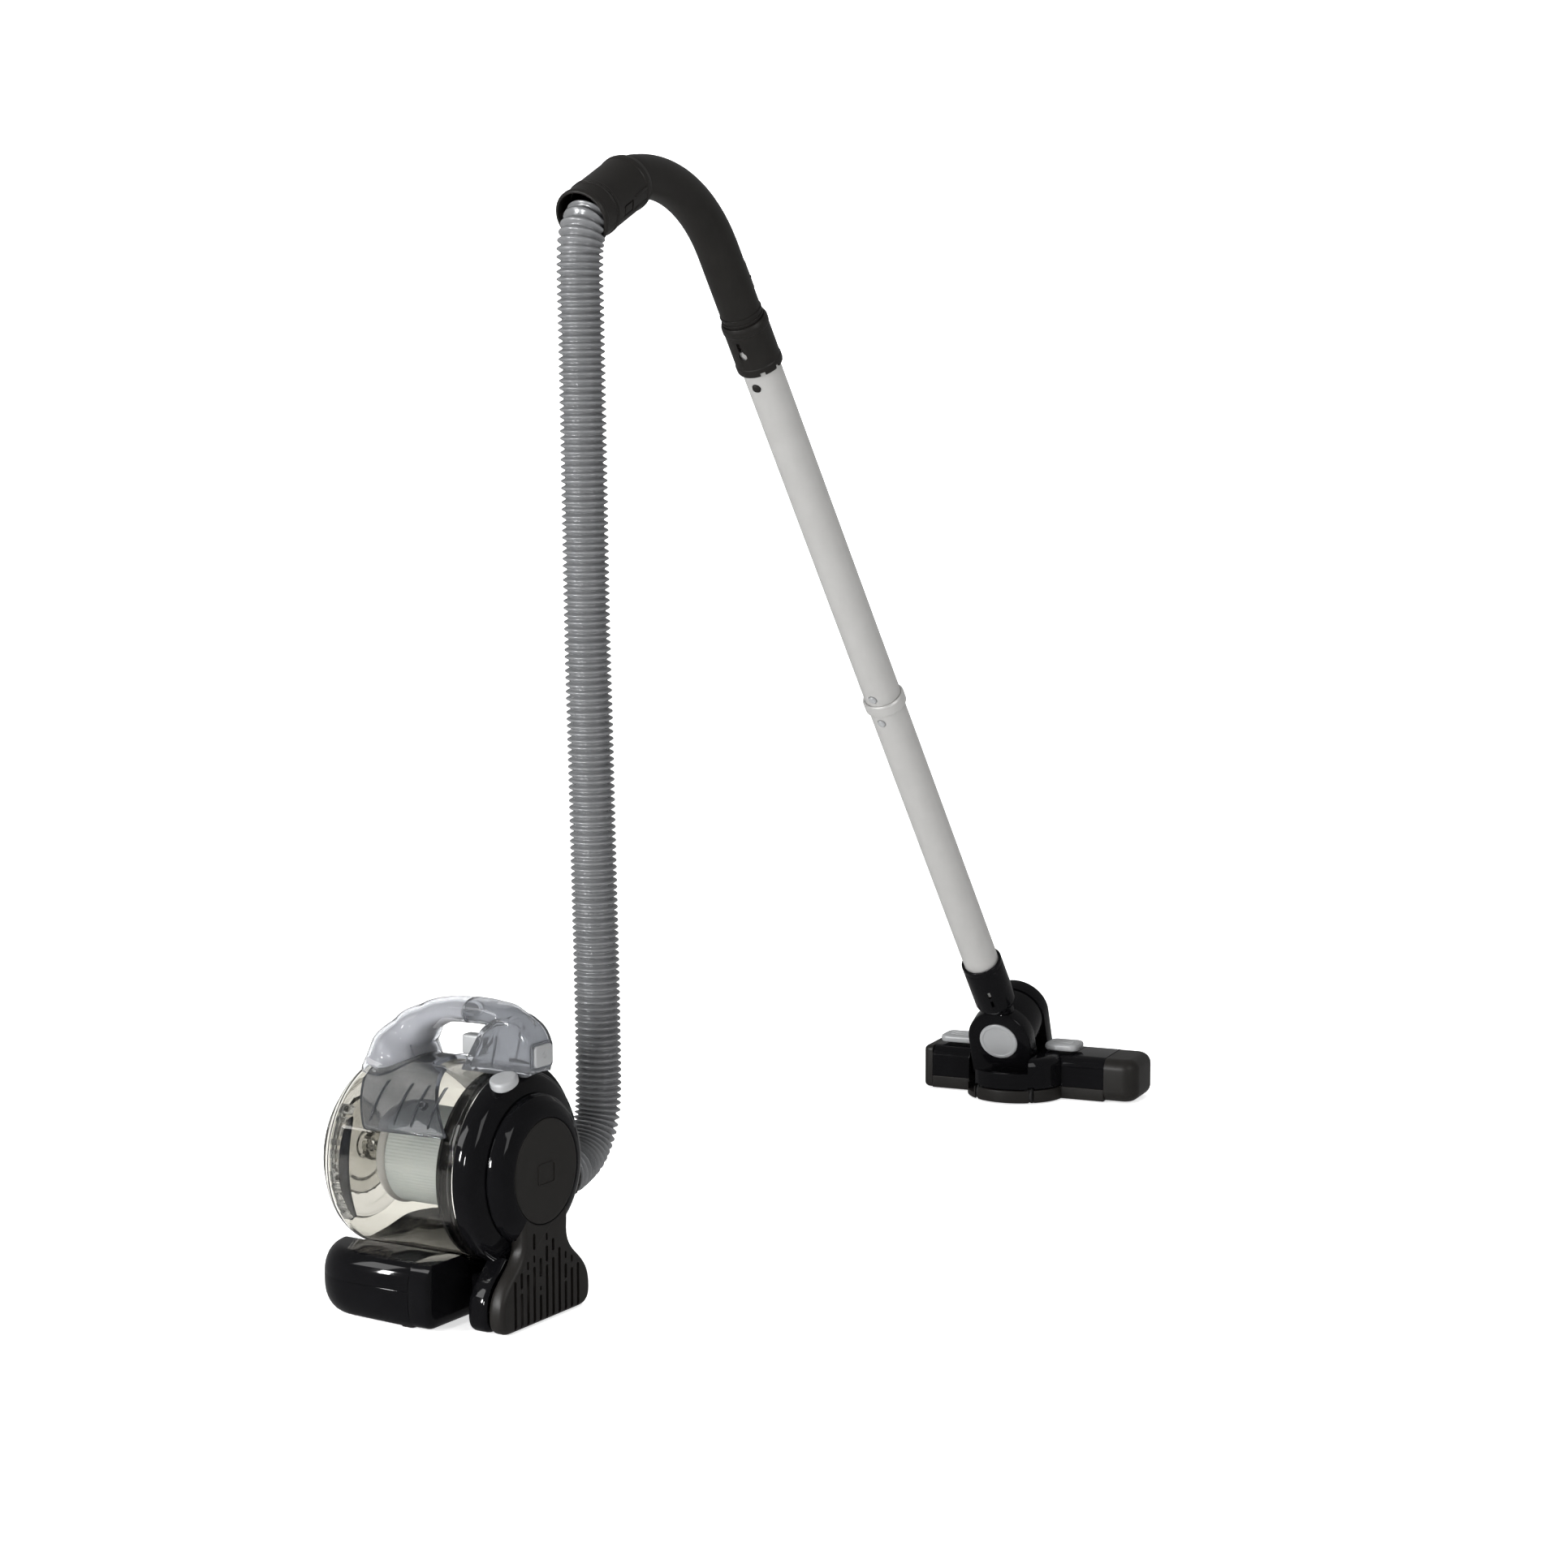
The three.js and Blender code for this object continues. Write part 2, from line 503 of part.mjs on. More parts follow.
const HOSE_ROUTE = [
  [22, 108, 86], [22, 113, 86], [22, 120, 86.8], [21, 130, 89], [20.5, 143, 94.5], [20, 153, 103],
  [20, 160, 113], [20, 164.5, 124], [20, 166.7, 140], [20, 166.9, 173.5], [20, 165.4, 241.6],
  [20, 161.9, 343.1], [20, 158.5, 443.4], [20, 155.8, 509.6], [20, 152.9, 640.6],
  [20, 150, 769.7], [20, 148.8, 812], [20, 150, 834], [20, 155, 847.5], [20, 163, 856],
];
piece(stand, 'hose', pipe(HOSE_ROUTE, HOSE_R, 42, 10), HOSE_GREY);

// ---- cuff on the hose, swivel collar and bent handle tube ----
const cuffTurn = rad(CUFF_RISE - 90);
const onCuff = (geometry) => geometry.rotateX(cuffTurn).translate(...CUFF_RIM);
const hoseRoom = pipe(HOSE_ROUTE.slice(-5), HOSE_R + 1.8, 12, 12);
piece(vacuum, 'cuff_ring', cut(onCuff(turnedZ([
  [0, 20.6], [0, CUFF_R - 1.2], [2, CUFF_R], [19.6, CUFF_R], [19.6, 20.6], [0, 20.6],
], 28)), hoseRoom), MATTE_BLACK);
const wand = new THREE.Group();
vacuum.add(wand);
piece(wand, 'swivel_collar', onCuff(turnedZ([
  [20, 20.6], [20, CUFF_R], [72, CUFF_R], [77, 22], [77, 20.2], [74, 20.2], [74, 20.6], [20, 20.6],
], 28)), MATTE_BLACK);

const leanAxis = [Math.sin(rad(WAND_LEAN)), Math.cos(rad(WAND_LEAN))];
const wandPoint = (s) =>
  [WAND_X, WAND_FOOT[1] - leanAxis[0] * s, WAND_FOOT[2] + leanAxis[1] * s];
function bendRoute() {
  const socketEnd = wandPoint(SOCKET_HIGH - 20);
  const bendFoot = wandPoint(941.5);
  const middle = [bendFoot[1] - BEND_R * leanAxis[1], bendFoot[2] - BEND_R * leanAxis[0]];
  const arc = [];
  for (let turn = 100; turn >= 37; turn -= 9) {
    arc.push([WAND_X, middle[0] + BEND_R * Math.cos(rad(turn)),
      middle[1] + BEND_R * Math.sin(rad(turn))]);
  }
  const entry = [WAND_X, arc[0][1] - 20, arc[0][2] - 8.6];
  return [entry, ...arc, wandPoint(930), wandPoint(900), socketEnd];
}
piece(wand, 'handle_tube', pipe(bendRoute(), 18.2, 16, 12, 15.6), MATTE_BLACK);

const onWand = (geometry) => geometry.rotateX(rad(WAND_LEAN)).translate(...WAND_FOOT);
piece(wand, 'suction_slider', onWand(
  plate(-7, 7, -17, 17, 18.6, 23, 5, 1.2).rotateX(-Math.PI / 2).translate(0, 0, 903)), MATTE_BLACK);
const keyhole = join(
  box(-2, 2, -24, -15, 846, 860),
  turnedZ(rod(15, 24, 4), 12).rotateX(Math.PI / 2).translate(0, 0, 846));
piece(wand, 'wand_socket', onWand(cut(turnedZ([
  [SOCKET_LOW, 18.7], [SOCKET_LOW, 20.6], [SOCKET_HIGH - 3, 20.9], [SOCKET_HIGH, 19.6],
  [SOCKET_HIGH, 18.7], [SOCKET_LOW, 18.7],
], 24), keyhole)), MATTE_BLACK);

// ---- wand tubes, their joint ring and snap buttons ----
const BUTTONS = { wand_button: 811, tube_button_upper: 455, tube_button_lower: 426 };
const buttonHole = (s, radius) =>
  turnedZ(rod(10, 24, radius), 12).rotateX(Math.PI / 2).translate(0, 0, s);
const holes = Object.values(BUTTONS).map((s) => buttonHole(s, 4.3));
const spigot = TUBE_R - TUBE_WALL - GAP;
piece(wand, 'upper_tube', onWand(cut(turnedZ([
  [398, spigot - 1.4], [398, spigot], [JOINT_S + GAP, spigot], [JOINT_S + GAP, TUBE_R],
  [849, TUBE_R], [849, spigot - 1.4], [398, spigot - 1.4],
], 20), ...holes)), WAND_METAL);
piece(wand, 'lower_tube', onWand(cut(turnedZ(
  ring(60, JOINT_S, TUBE_R - TUBE_WALL, TUBE_R), 20), holes[2])), WAND_METAL);
piece(wand, 'joint_ring', onWand(turnedZ([
  [435, TUBE_R + 0.4], [435, 19.4], [JOINT_S + 4, 20], [JOINT_S + 6, 19], [JOINT_S + 6, TUBE_R + 0.4],
  [435, TUBE_R + 0.4],
], 20)), WAND_METAL);
Object.entries(BUTTONS).forEach(([name, s]) => {
  piece(wand, name, onWand(turnedZ(rod(14.8, 18.8, 3.9), 12).rotateX(Math.PI / 2)
    .translate(0, 0, s)), name === 'wand_button' ? MATTE_BLACK : SILVER);
});

// ---- neck and knuckle ----
const knuckleSpace = new THREE.Matrix4()
  .makeTranslation(...KNUCKLE_AT)
  .multiply(new THREE.Matrix4().makeRotationZ(rad(HEAD_YAW)))
  .multiply(new THREE.Matrix4().makeRotationX(rad(KNUCKLE_TILT)));
const inKnuckle = (geometry) => geometry.applyMatrix4(knuckleSpace);
const headSpace = new THREE.Matrix4()
  .makeTranslation(...HEAD_AT)
  .multiply(new THREE.Matrix4().makeRotationZ(rad(HEAD_YAW)));
const onHead = (geometry) => geometry.applyMatrix4(headSpace);
const acrossKnuckle = (profile, sides) => turnedZ(profile, sides).rotateX(Math.PI / 2);
const HUB_HALF = 16;
const hub = inKnuckle(acrossKnuckle(rod(-HUB_HALF, HUB_HALF, KNUCKLE_R - 4), 24));
const neckTube = onWand(turnedZ([
  [14, 0], [14, 16], [34, 16], [42, 20.5], [97, 20.5], [97, TUBE_R + 0.4], [58, TUBE_R + 0.4], [58, 0],
], 24));
const cheekRoom = [-1, 1].map((side) => inKnuckle(acrossKnuckle(
  rod(Math.min(side * 15.9, side * 60), Math.max(side * 15.9, side * 60), KNUCKLE_R + 1), 32)));
piece(vacuum, 'neck', join(cut(neckTube, ...cheekRoom), hub), GLOSS_BLACK);

function knuckleHousing() {
  const shape = new THREE.Shape();
  shape.moveTo(-KNUCKLE_R, -42);
  shape.lineTo(KNUCKLE_R, -42);
  shape.lineTo(KNUCKLE_R, 0);
  shape.absarc(0, 0, KNUCKLE_R, 0, Math.PI);
  const block = new THREE.ExtrudeGeometry(shape, {
    depth: 68, bevelEnabled: false, curveSegments: 14,
  }).rotateX(Math.PI / 2).translate(0, 34, 0);
  const slot = box(-60, 60, -HUB_HALF - 0.4, HUB_HALF + 0.4, -33, 60);
  return inKnuckle(cut(block, slot, acrossKnuckle(rod(32.4, 40, 20.3), 24)));
}
const axleBore = onHead(turnedX(rod(-60, 40, 4.4), 12).translate(-2, PIVOT_V, PIVOT_Z));
piece(vacuum, 'knuckle_housing', cut(knuckleHousing(), axleBore), GLOSS_BLACK);
piece(vacuum, 'knuckle_cap', inKnuckle(acrossKnuckle([
  [32.7, 0], [32.7, 20], [34.6, 20], [35.6, 18], [35.6, 0],
], 24)), SILVER);

// ---- floor head, in its own turned frame ----
const head = new THREE.Group();
head.position.set(...HEAD_AT);
head.rotation.z = rad(HEAD_YAW);
vacuum.add(head);
const ROUND_U = -14;             // centre of the round base under the knuckle
const ROUND_V = -9;
const KNUCKLE_U = -23.4;         // middle of the knuckle's room
const HEAD_HALF = 114;
const BACK_V = -15;
const FRONT_V = 52;
const knuckleRoom = box(KNUCKLE_U - 35.2, KNUCKLE_U + 35.2, -70, 40, 7, 90);
const axleRoom = turnedX(rod(ROUND_U - 47.5, ROUND_U + 40, 4.4), 12)
  .translate(0, PIVOT_V, PIVOT_Z);
const mouth = box(-92, 74, 6, 36, -5, 9);
const brushRoom = (v) => box(-90.6, 76.6, v - 2.6, v + 2.6, -5, 12.6);
const soleOutline = join(
  plate(-104, 80, BACK_V, FRONT_V, 1, 13.7, 8),
  turnedZ(rod(1, 13.7, 50.5), 32).translate(ROUND_U, ROUND_V, 0));
const wheelRoom = (u) => box(u - 5.4, u + 5.4, -56, -30, -5, 20);
const WHEELS = { left_wheel: -40, right_wheel: 12 };
piece(head, 'sole_plate', cut(soleOutline, knuckleRoom, mouth, brushRoom(1), brushRoom(41),
  wheelRoom(WHEELS.left_wheel), wheelRoom(WHEELS.right_wheel)), MATTE_BLACK);
const topOutline = join(
  plate(-104, 80, BACK_V, FRONT_V, 14, 45, 8, 3),
  turnedZ([[14, 0], [14, 49.6], [40, 49.6], [46, 44], [46, 0]], 32).translate(ROUND_U, ROUND_V, 0));
const innerRoom = box(-99, 75, -9, 46, 5, 41);
piece(head, 'head_shell', cut(topOutline, knuckleRoom, axleRoom, innerRoom,
  wheelRoom(WHEELS.left_wheel), wheelRoom(WHEELS.right_wheel)), GLOSS_BLACK);
piece(head, 'left_end_cap', plate(-HEAD_HALF, -104 - GAP, BACK_V, FRONT_V, 1, 44, 3, 2), MATTE_BLACK);
piece(head, 'right_end_cap', plate(80 + GAP, HEAD_HALF, BACK_V, FRONT_V, 1, 47, 14, 6), MATTE_BLACK);
piece(head, 'pivot_axle', turnedX(rod(ROUND_U - 47, ROUND_U + 38, 4), 12)
  .translate(0, PIVOT_V, PIVOT_Z), STEEL);
Object.entries(WHEELS).forEach(([name, u]) => {
  piece(head, name, turnedX([
    [-4, 0], [-4, 6.5], [-3, 8], [3, 8], [4, 6.5], [4, 0],
  ], 16).translate(u, -43, 8), RUBBER);
});
[['rear_brush', 1], ['front_brush', 41]].forEach(([name, v]) => {
  piece(head, name, box(-90, 76, v - 2, v + 2, 0.6, 9), RUBBER);
});
const PEDAL_Z = [47.6, 55];        // clear of the shell's top when pressed
piece(head, 'left_pedal', plate(-100, -60, -6, 26, ...PEDAL_Z, 8, 2.5), SILVER);
piece(head, 'right_pedal', plate(13, 48, -6, 26, ...PEDAL_Z, 8, 2.5), SILVER);

export default vacuum;
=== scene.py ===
# Looks for the cordless canister vacuum cleaner: fine meshes, materials, light and the row's camera.
# Shapes are worked out in millimetres in the frame's own axes, and each piece ends in metres.
import math
import random

import bmesh
import bpy
from mathutils import Matrix, Vector


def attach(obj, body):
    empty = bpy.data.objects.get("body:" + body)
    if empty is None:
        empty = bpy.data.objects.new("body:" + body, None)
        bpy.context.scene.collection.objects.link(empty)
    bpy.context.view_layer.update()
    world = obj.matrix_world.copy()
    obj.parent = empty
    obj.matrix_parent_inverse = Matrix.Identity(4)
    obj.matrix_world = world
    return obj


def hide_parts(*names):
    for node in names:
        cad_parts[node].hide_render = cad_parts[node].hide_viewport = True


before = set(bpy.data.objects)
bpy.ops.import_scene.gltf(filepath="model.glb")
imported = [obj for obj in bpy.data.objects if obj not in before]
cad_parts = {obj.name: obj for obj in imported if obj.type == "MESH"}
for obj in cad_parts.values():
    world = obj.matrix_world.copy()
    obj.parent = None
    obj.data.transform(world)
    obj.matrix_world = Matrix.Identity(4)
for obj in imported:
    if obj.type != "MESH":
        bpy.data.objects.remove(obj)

MM = 0.001
SEED = 7
random.seed(SEED)
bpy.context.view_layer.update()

# ---- driving dimensions, the same as the CAD part's ----
GAP = 0.3
AXIS_Z = 119
BOWL_R = 76
BOWL_BACK = 50
BOWL_FRONT = -85
WALL = 2
DISC_R = 41.6
REAR_X = 84.6
SHELL_SPLIT = 70
BASE_NOSE = -91
BASE_REAR = 33.5
BASE_HALF = 86
BASE_FLOOR = 3
BASE_TOP = 55
BASE_SPLIT = 33
CAP_SPLIT = 15
PORT = (22, 92, 86)
HOSE_R = 19
HOSE_VALLEY = 15.2
WAND_X = 20
WAND_LEAN = math.radians(35.71)
WAND_FOOT = (20, 905.3, 70.9)
TUBE_R = 17.5
JOINT_S = 441
SOCKET_LOW = 824
SOCKET_HIGH = 873
BEND_R = 135
CUFF_RIM = (20, 150.5, 853.5)
CUFF_RISE = math.radians(26)
HEAD_YAW = math.radians(8)
HEAD_AT = (38, 931, 0)
KNUCKLE_AT = (16, 919, 73)
KNUCKLE_TILT = math.radians(21.8)
KNUCKLE_R = 33
HUB_HALF = 16
PIVOT_V = -6
PIVOT_Z = 36
ROUND_U = -14
ROUND_V = -9
KNUCKLE_U = -23.4
HEAD_LEFT = -104
HEAD_RIGHT = 80
HEAD_NEAR = -15
HEAD_FAR = 52
HEAD_SPLIT = 14
REAR_END = 81
POWER_Z = 209.5
LATCH_TURN = math.radians(20)
HOSE_ROUTE = [
    (22, 108, 86), (22, 113, 86), (22, 120, 86.8), (21, 130, 89), (20.5, 143, 94.5),
    (20, 153, 103), (20, 160, 113), (20, 164.5, 124), (20, 166.7, 140), (20, 166.9, 173.5),
    (20, 165.4, 241.6), (20, 161.9, 343.1), (20, 158.5, 443.4), (20, 155.8, 509.6),
    (20, 152.9, 640.6), (20, 150, 769.7), (20, 148.8, 812), (20, 150, 834),
    (20, 155, 847.5), (20, 163, 856),
]


# ---- frames that pieces are built in ----
def at(x, y, z):
    return Matrix.Translation((x, y, z))


def turn(angle, axis):
    return Matrix.Rotation(angle, 4, axis)


QUARTER = math.pi / 2
HERE = Matrix.Identity(4)
BARREL = at(0, 0, AXIS_Z) @ turn(QUARTER, "Y")        # local Z runs along the canister's axis
PORT_AXIS = at(PORT[0], 0, PORT[2]) @ turn(-QUARTER, "X")
CUFF = at(*CUFF_RIM) @ turn(CUFF_RISE - QUARTER, "X")
WAND = at(*WAND_FOOT) @ turn(WAND_LEAN, "X")
KNUCKLE = at(*KNUCKLE_AT) @ turn(HEAD_YAW, "Z") @ turn(KNUCKLE_TILT, "X")
ACROSS = KNUCKLE @ turn(QUARTER, "X")                 # local Z runs toward the knuckle's near cheek
HEAD = at(*HEAD_AT) @ turn(HEAD_YAW, "Z")


# ---- mesh helpers ----
def to_object(name, bm, place=HERE):
    bm.transform(place)
    bmesh.ops.remove_doubles(bm, verts=bm.verts, dist=0.003)
    bmesh.ops.recalc_face_normals(bm, faces=bm.faces)
    mesh = bpy.data.meshes.new(name)
    bm.to_mesh(mesh)
    bm.free()
    obj = bpy.data.objects.new(name, mesh)
    bpy.context.scene.collection.objects.link(obj)
    return obj


def skin(rings, close_ends=True, loop=False):
    """A bmesh over rings of equal count. loop joins the last ring to the first."""
    bm = bmesh.new()
    made = [[bm.verts.new(point) for point in ring] for ring in rings]
    count = len(rings[0])
    pairs = list(zip(made, made[1:]))
    if loop:
        pairs.append((made[-1], made[0]))
    for low, high in pairs:
        for j in range(count):
            k = (j + 1) % count
            bm.faces.new((low[j], low[k], high[k], high[j]))
    if close_ends and not loop:
        bm.faces.new(made[0])
        bm.faces.new(made[-1])
    return bm


def eased(profile, radius, steps=4, closed=True):
    """The same outline with its corners rounded."""
    count = len(profile)
    out = []
    for i, here in enumerate(profile):
        if not closed and i in (0, count - 1):
            out.append(tuple(here))
            continue
        corner = Vector(here)
        back = Vector(profile[i - 1]) - corner
        ahead = Vector(profile[(i + 1) % count]) - corner
        bend = math.pi - back.angle(ahead, math.pi)
        reach = min(radius, 0.45 * back.length, 0.45 * ahead.length)
        if bend < math.radians(6) or reach < 0.02:
            out.append(tuple(here))
            continue
        start = corner + back.normalized() * reach
        stop = corner + ahead.normalized() * reach
        for k in range(steps + 1):
            t = k / steps
            point = start * (1 - t) ** 2 + corner * 2 * t * (1 - t) + stop * t * t
            out.append(tuple(point))
    return out


def turned(name, profile, place, radius=0.8, sides=96, steps=4):
    """A turned solid. Profile points are [distance along the axis, radius]; it closes on itself."""
    solid = any(r == 0 for _, r in profile)
    line = eased(profile, radius, steps, closed=not solid)
    rings = []
    for s, r in line:
        reach = max(r, 0.001)
        rings.append([(reach * math.cos(2 * math.pi * j / sides),
                       reach * math.sin(2 * math.pi * j / sides), s) for j in range(sides)])
    bm = skin(rings, close_ends=solid, loop=not solid)
    if solid:
        bmesh.ops.remove_doubles(bm, verts=bm.verts, dist=0.01)
    return to_object(name, bm, place)


def rod(low, high, radius):
    return [(low, 0), (low, radius), (high, radius), (high, 0)]


def ring(low, high, inner, outer):
    return [(low, inner), (low, outer), (high, outer), (high, inner)]


def round_outline(x0, x1, y0, y1, corner, steps=10):
    """A rectangle with rounded corners, as a closed list of points."""
    corner = max(min(corner, (x1 - x0) / 2, (y1 - y0) / 2), 0.05)
    centres = [(x1 - corner, y0 + corner, -90), (x1 - corner, y1 - corner, 0),
               (x0 + corner, y1 - corner, 90), (x0 + corner, y0 + corner, 180)]
    points = []
    for cx, cy, start in centres:
        for k in range(steps + 1):
            angle = math.radians(start + 90 * k / steps)
            points.append((cx + corner * math.cos(angle), cy + corner * math.sin(angle)))
    return points


def inset(outline, amount):
    """The outline moved inwards along its own normals; it runs anticlockwise."""
    count = len(outline)
    out = []
    for i in range(count):
        before = Vector(outline[i - 1])
        after = Vector(outline[(i + 1) % count])
        along = (after - before).normalized()
        out.append((outline[i][0] - along.y * amount, outline[i][1] + along.x * amount))
    return out


def slab(name, outline, z0, z1, ease=1.0, place=HERE, steps=5, lift=None):
    """An upright slab over an outline, its top and bottom edges eased."""
    lift = ease if lift is None else lift
    rings = []
    for k in range(steps + 1):
        angle = QUARTER * k / steps
        grown = inset(outline, ease * (1 - math.sin(angle)))
        rings.append([(x, y, z0 + lift * (1 - math.cos(angle))) for x, y in grown])
    for k in range(steps, -1, -1):
        angle = QUARTER * k / steps
        grown = inset(outline, ease * (1 - math.sin(angle)))
        rings.append([(x, y, z1 - lift * (1 - math.cos(angle))) for x, y in grown])
    return to_object(name, skin(rings), place)


def block(name, x0, x1, y0, y1, z0, z1, corner=2.0, ease=0.8, place=HERE, steps=5):
    return slab(name, round_outline(x0, x1, y0, y1, corner), z0, z1, ease, place, steps)


def swept(name, points, profile, sides=48, place=HERE, bore=0):
    """A tube along points close to one upright plane, with profile's radius at each point."""
    rings = []
    inner = []
    side = Vector((1, 0, 0))
    count = len(points)
    for i, point in enumerate(points):
        along = Vector(points[min(i + 1, count - 1)]) - Vector(points[max(i - 1, 0)])
        across = (side - along * side.dot(along) / along.length_squared).normalized()
        up = along.normalized().cross(across)
        for r, where in ((profile[i], rings), (bore, inner)):
            where.append([tuple(Vector(point) + across * (r * math.cos(2 * math.pi * j / sides))
                                + up * (r * math.sin(2 * math.pi * j / sides)))
                          for j in range(sides)])
    if not bore:
        return to_object(name, skin(rings), place)
    return to_object(name, skin(rings + inner[::-1], loop=True), place)


def smooth_path(points, spacing):
    """Points along a Catmull-Rom curve through the given ones, about spacing apart."""
    given = [Vector(p) for p in points]
    ends = [given[0] * 2 - given[1]] + given + [given[-1] * 2 - given[-2]]
    dense = []
    for i in range(1, len(ends) - 2):
        p0, p1, p2, p3 = ends[i - 1:i + 3]
        gaps = [math.sqrt((b - a).length) for a, b in ((p0, p1), (p1, p2), (p2, p3))]
        m1 = (p1 - p0) / gaps[0] - (p2 - p0) / (gaps[0] + gaps[1]) + (p2 - p1) / gaps[1]
        m2 = (p2 - p1) / gaps[1] - (p3 - p1) / (gaps[1] + gaps[2]) + (p3 - p2) / gaps[2]
        m1, m2 = m1 * gaps[1], m2 * gaps[1]
        steps = max(4, int((p2 - p1).length))
        for k in range(steps):
            t = k / steps
            dense.append(p1 * (2 * t ** 3 - 3 * t ** 2 + 1) + m1 * (t ** 3 - 2 * t ** 2 + t)
                         + p2 * (3 * t ** 2 - 2 * t ** 3) + m2 * (t ** 3 - t ** 2))
    dense.append(given[-1])
    reach = [0]
    for a, b in zip(dense, dense[1:]):
        reach.append(reach[-1] + (b - a).length)
    count = int(reach[-1] / spacing)
    out = []
    at_span = 0
    for k in range(count + 1):
        goal = reach[-1] * k / count
        while at_span < len(reach) - 2 and reach[at_span + 1] < goal:
            at_span += 1
        share = (goal - reach[at_span]) / (reach[at_span + 1] - reach[at_span])
        out.append(dense[at_span].lerp(dense[at_span + 1], share))
    return out, reach[-1]


def applied(obj):
    """obj with its modifiers made part of its mesh."""
    bpy.context.view_layer.update()
    made = bpy.data.meshes.new_from_object(
        obj.evaluated_get(bpy.context.evaluated_depsgraph_get()))
    obj.modifiers.clear()
    obj.data = made
    return obj


def combine(obj, how, *others):
    for other in others:
        change = obj.modifiers.new(how, "BOOLEAN")
        change.operation = how
        change.solver = "MANIFOLD"
        change.object = other
        applied(obj)
        bpy.data.objects.remove(other)
    return obj


def cut(obj, *tools):
    return combine(obj, "DIFFERENCE", *tools)


def join(obj, *others):
    return combine(obj, "UNION", *others)


def keep(obj, other):
    return combine(obj, "INTERSECT", other)


def together(obj, *others):
    """Several closed shapes as one mesh, left as they are."""
    bm = bmesh.new()
    for one in (obj, *others):
        bm.from_mesh(one.data)
    bm.to_mesh(obj.data)
    bm.free()
    for other in others:
        bpy.data.objects.remove(other)
    return obj


def bevelled(obj, width, segments=3, angle=40):
    change = obj.modifiers.new("edge", "BEVEL")
    change.width = width
    change.segments = segments
    change.limit_method = "ANGLE"
    change.angle_limit = math.radians(angle)
    change.use_clamp_overlap = True
    return applied(obj)


def hollowed(obj, thickness):
    change = obj.modifiers.new("wall", "SOLIDIFY")
    change.thickness = thickness
    change.offset = -1
    return applied(obj)


def drum(radius, x0, x1):
    return turned("drum", rod(x0, x1, radius), BARREL, radius=0, sides=128)


def plain_box(x0, x1, y0, y1, z0, z1, place=HERE):
    bm = bmesh.new()
    bmesh.ops.create_cube(bm, size=1)
    bm.transform(at((x0 + x1) / 2, (y0 + y1) / 2, (z0 + z1) / 2)
                 @ Matrix.Diagonal((x1 - x0, y1 - y0, z1 - z0, 1)))
    return to_object("box", bm, place)


def done(obj, slot, body, *nodes, crease=32):
    """Scales a piece to metres, shades it, gives it its finish and body, and hides the CAD nodes it
    stands in for.
    """
    obj.data.transform(Matrix.Scale(MM, 4))
    obj.data.shade_smooth()
    obj.data.set_sharp_from_angle(angle=math.radians(crease))
    obj.data.materials.clear()
    obj.data.materials.append(FINISH[slot])
    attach(obj, body)
    if nodes:
        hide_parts(*nodes)
    return obj


# ---- finishes ----
def add_grain(material, place, strength):
    """Fine dents over the whole finish."""
    nodes = material.node_tree.nodes
    links = material.node_tree.links
    fine = nodes.new("ShaderNodeTexNoise")
    fine.inputs["Scale"].default_value = 2400.0
    links.new(place.outputs["Object"], fine.inputs["Vector"])
    dent = nodes.new("ShaderNodeBump")
    dent.inputs["Strength"].default_value = strength
    dent.inputs["Distance"].default_value = 0.0002
    links.new(fine.outputs["Fac"], dent.inputs["Height"])
    links.new(dent.outputs["Normal"], nodes["Principled BSDF"].inputs["Normal"])


def finish(name, dark, light, rough, metal=0.0, bump=0.0, see=0.0, shine=0.5, bend=1.45):
    """A procedural finish: colour and roughness wander between two values, with a fine grain."""
    material = bpy.data.materials.new(name)
    material.use_nodes = True
    nodes = material.node_tree.nodes
    links = material.node_tree.links
    shader = nodes["Principled BSDF"]
    place = nodes.new("ShaderNodeTexCoord")
    noise = nodes.new("ShaderNodeTexNoise")
    noise.inputs["Scale"].default_value = 60.0
    noise.inputs["Detail"].default_value = 3.0
    links.new(place.outputs["Object"], noise.inputs["Vector"])
    ramp = nodes.new("ShaderNodeValToRGB")
    ramp.color_ramp.elements[0].color = (*dark, 1)
    ramp.color_ramp.elements[1].color = (*light, 1)
    links.new(noise.outputs["Fac"], ramp.inputs["Fac"])
    links.new(ramp.outputs["Color"], shader.inputs["Base Color"])
    spread = nodes.new("ShaderNodeMapRange")
    spread.inputs["To Min"].default_value = rough[0]
    spread.inputs["To Max"].default_value = rough[1]
    links.new(noise.outputs["Fac"], spread.inputs["Value"])
    links.new(spread.outputs["Result"], shader.inputs["Roughness"])
    shader.inputs["Metallic"].default_value = metal
    shader.inputs["Specular IOR Level"].default_value = shine
    shader.inputs["IOR"].default_value = bend
    shader.inputs["Transmission Weight"].default_value = see
    if bump:
        add_grain(material, place, bump)
    return material


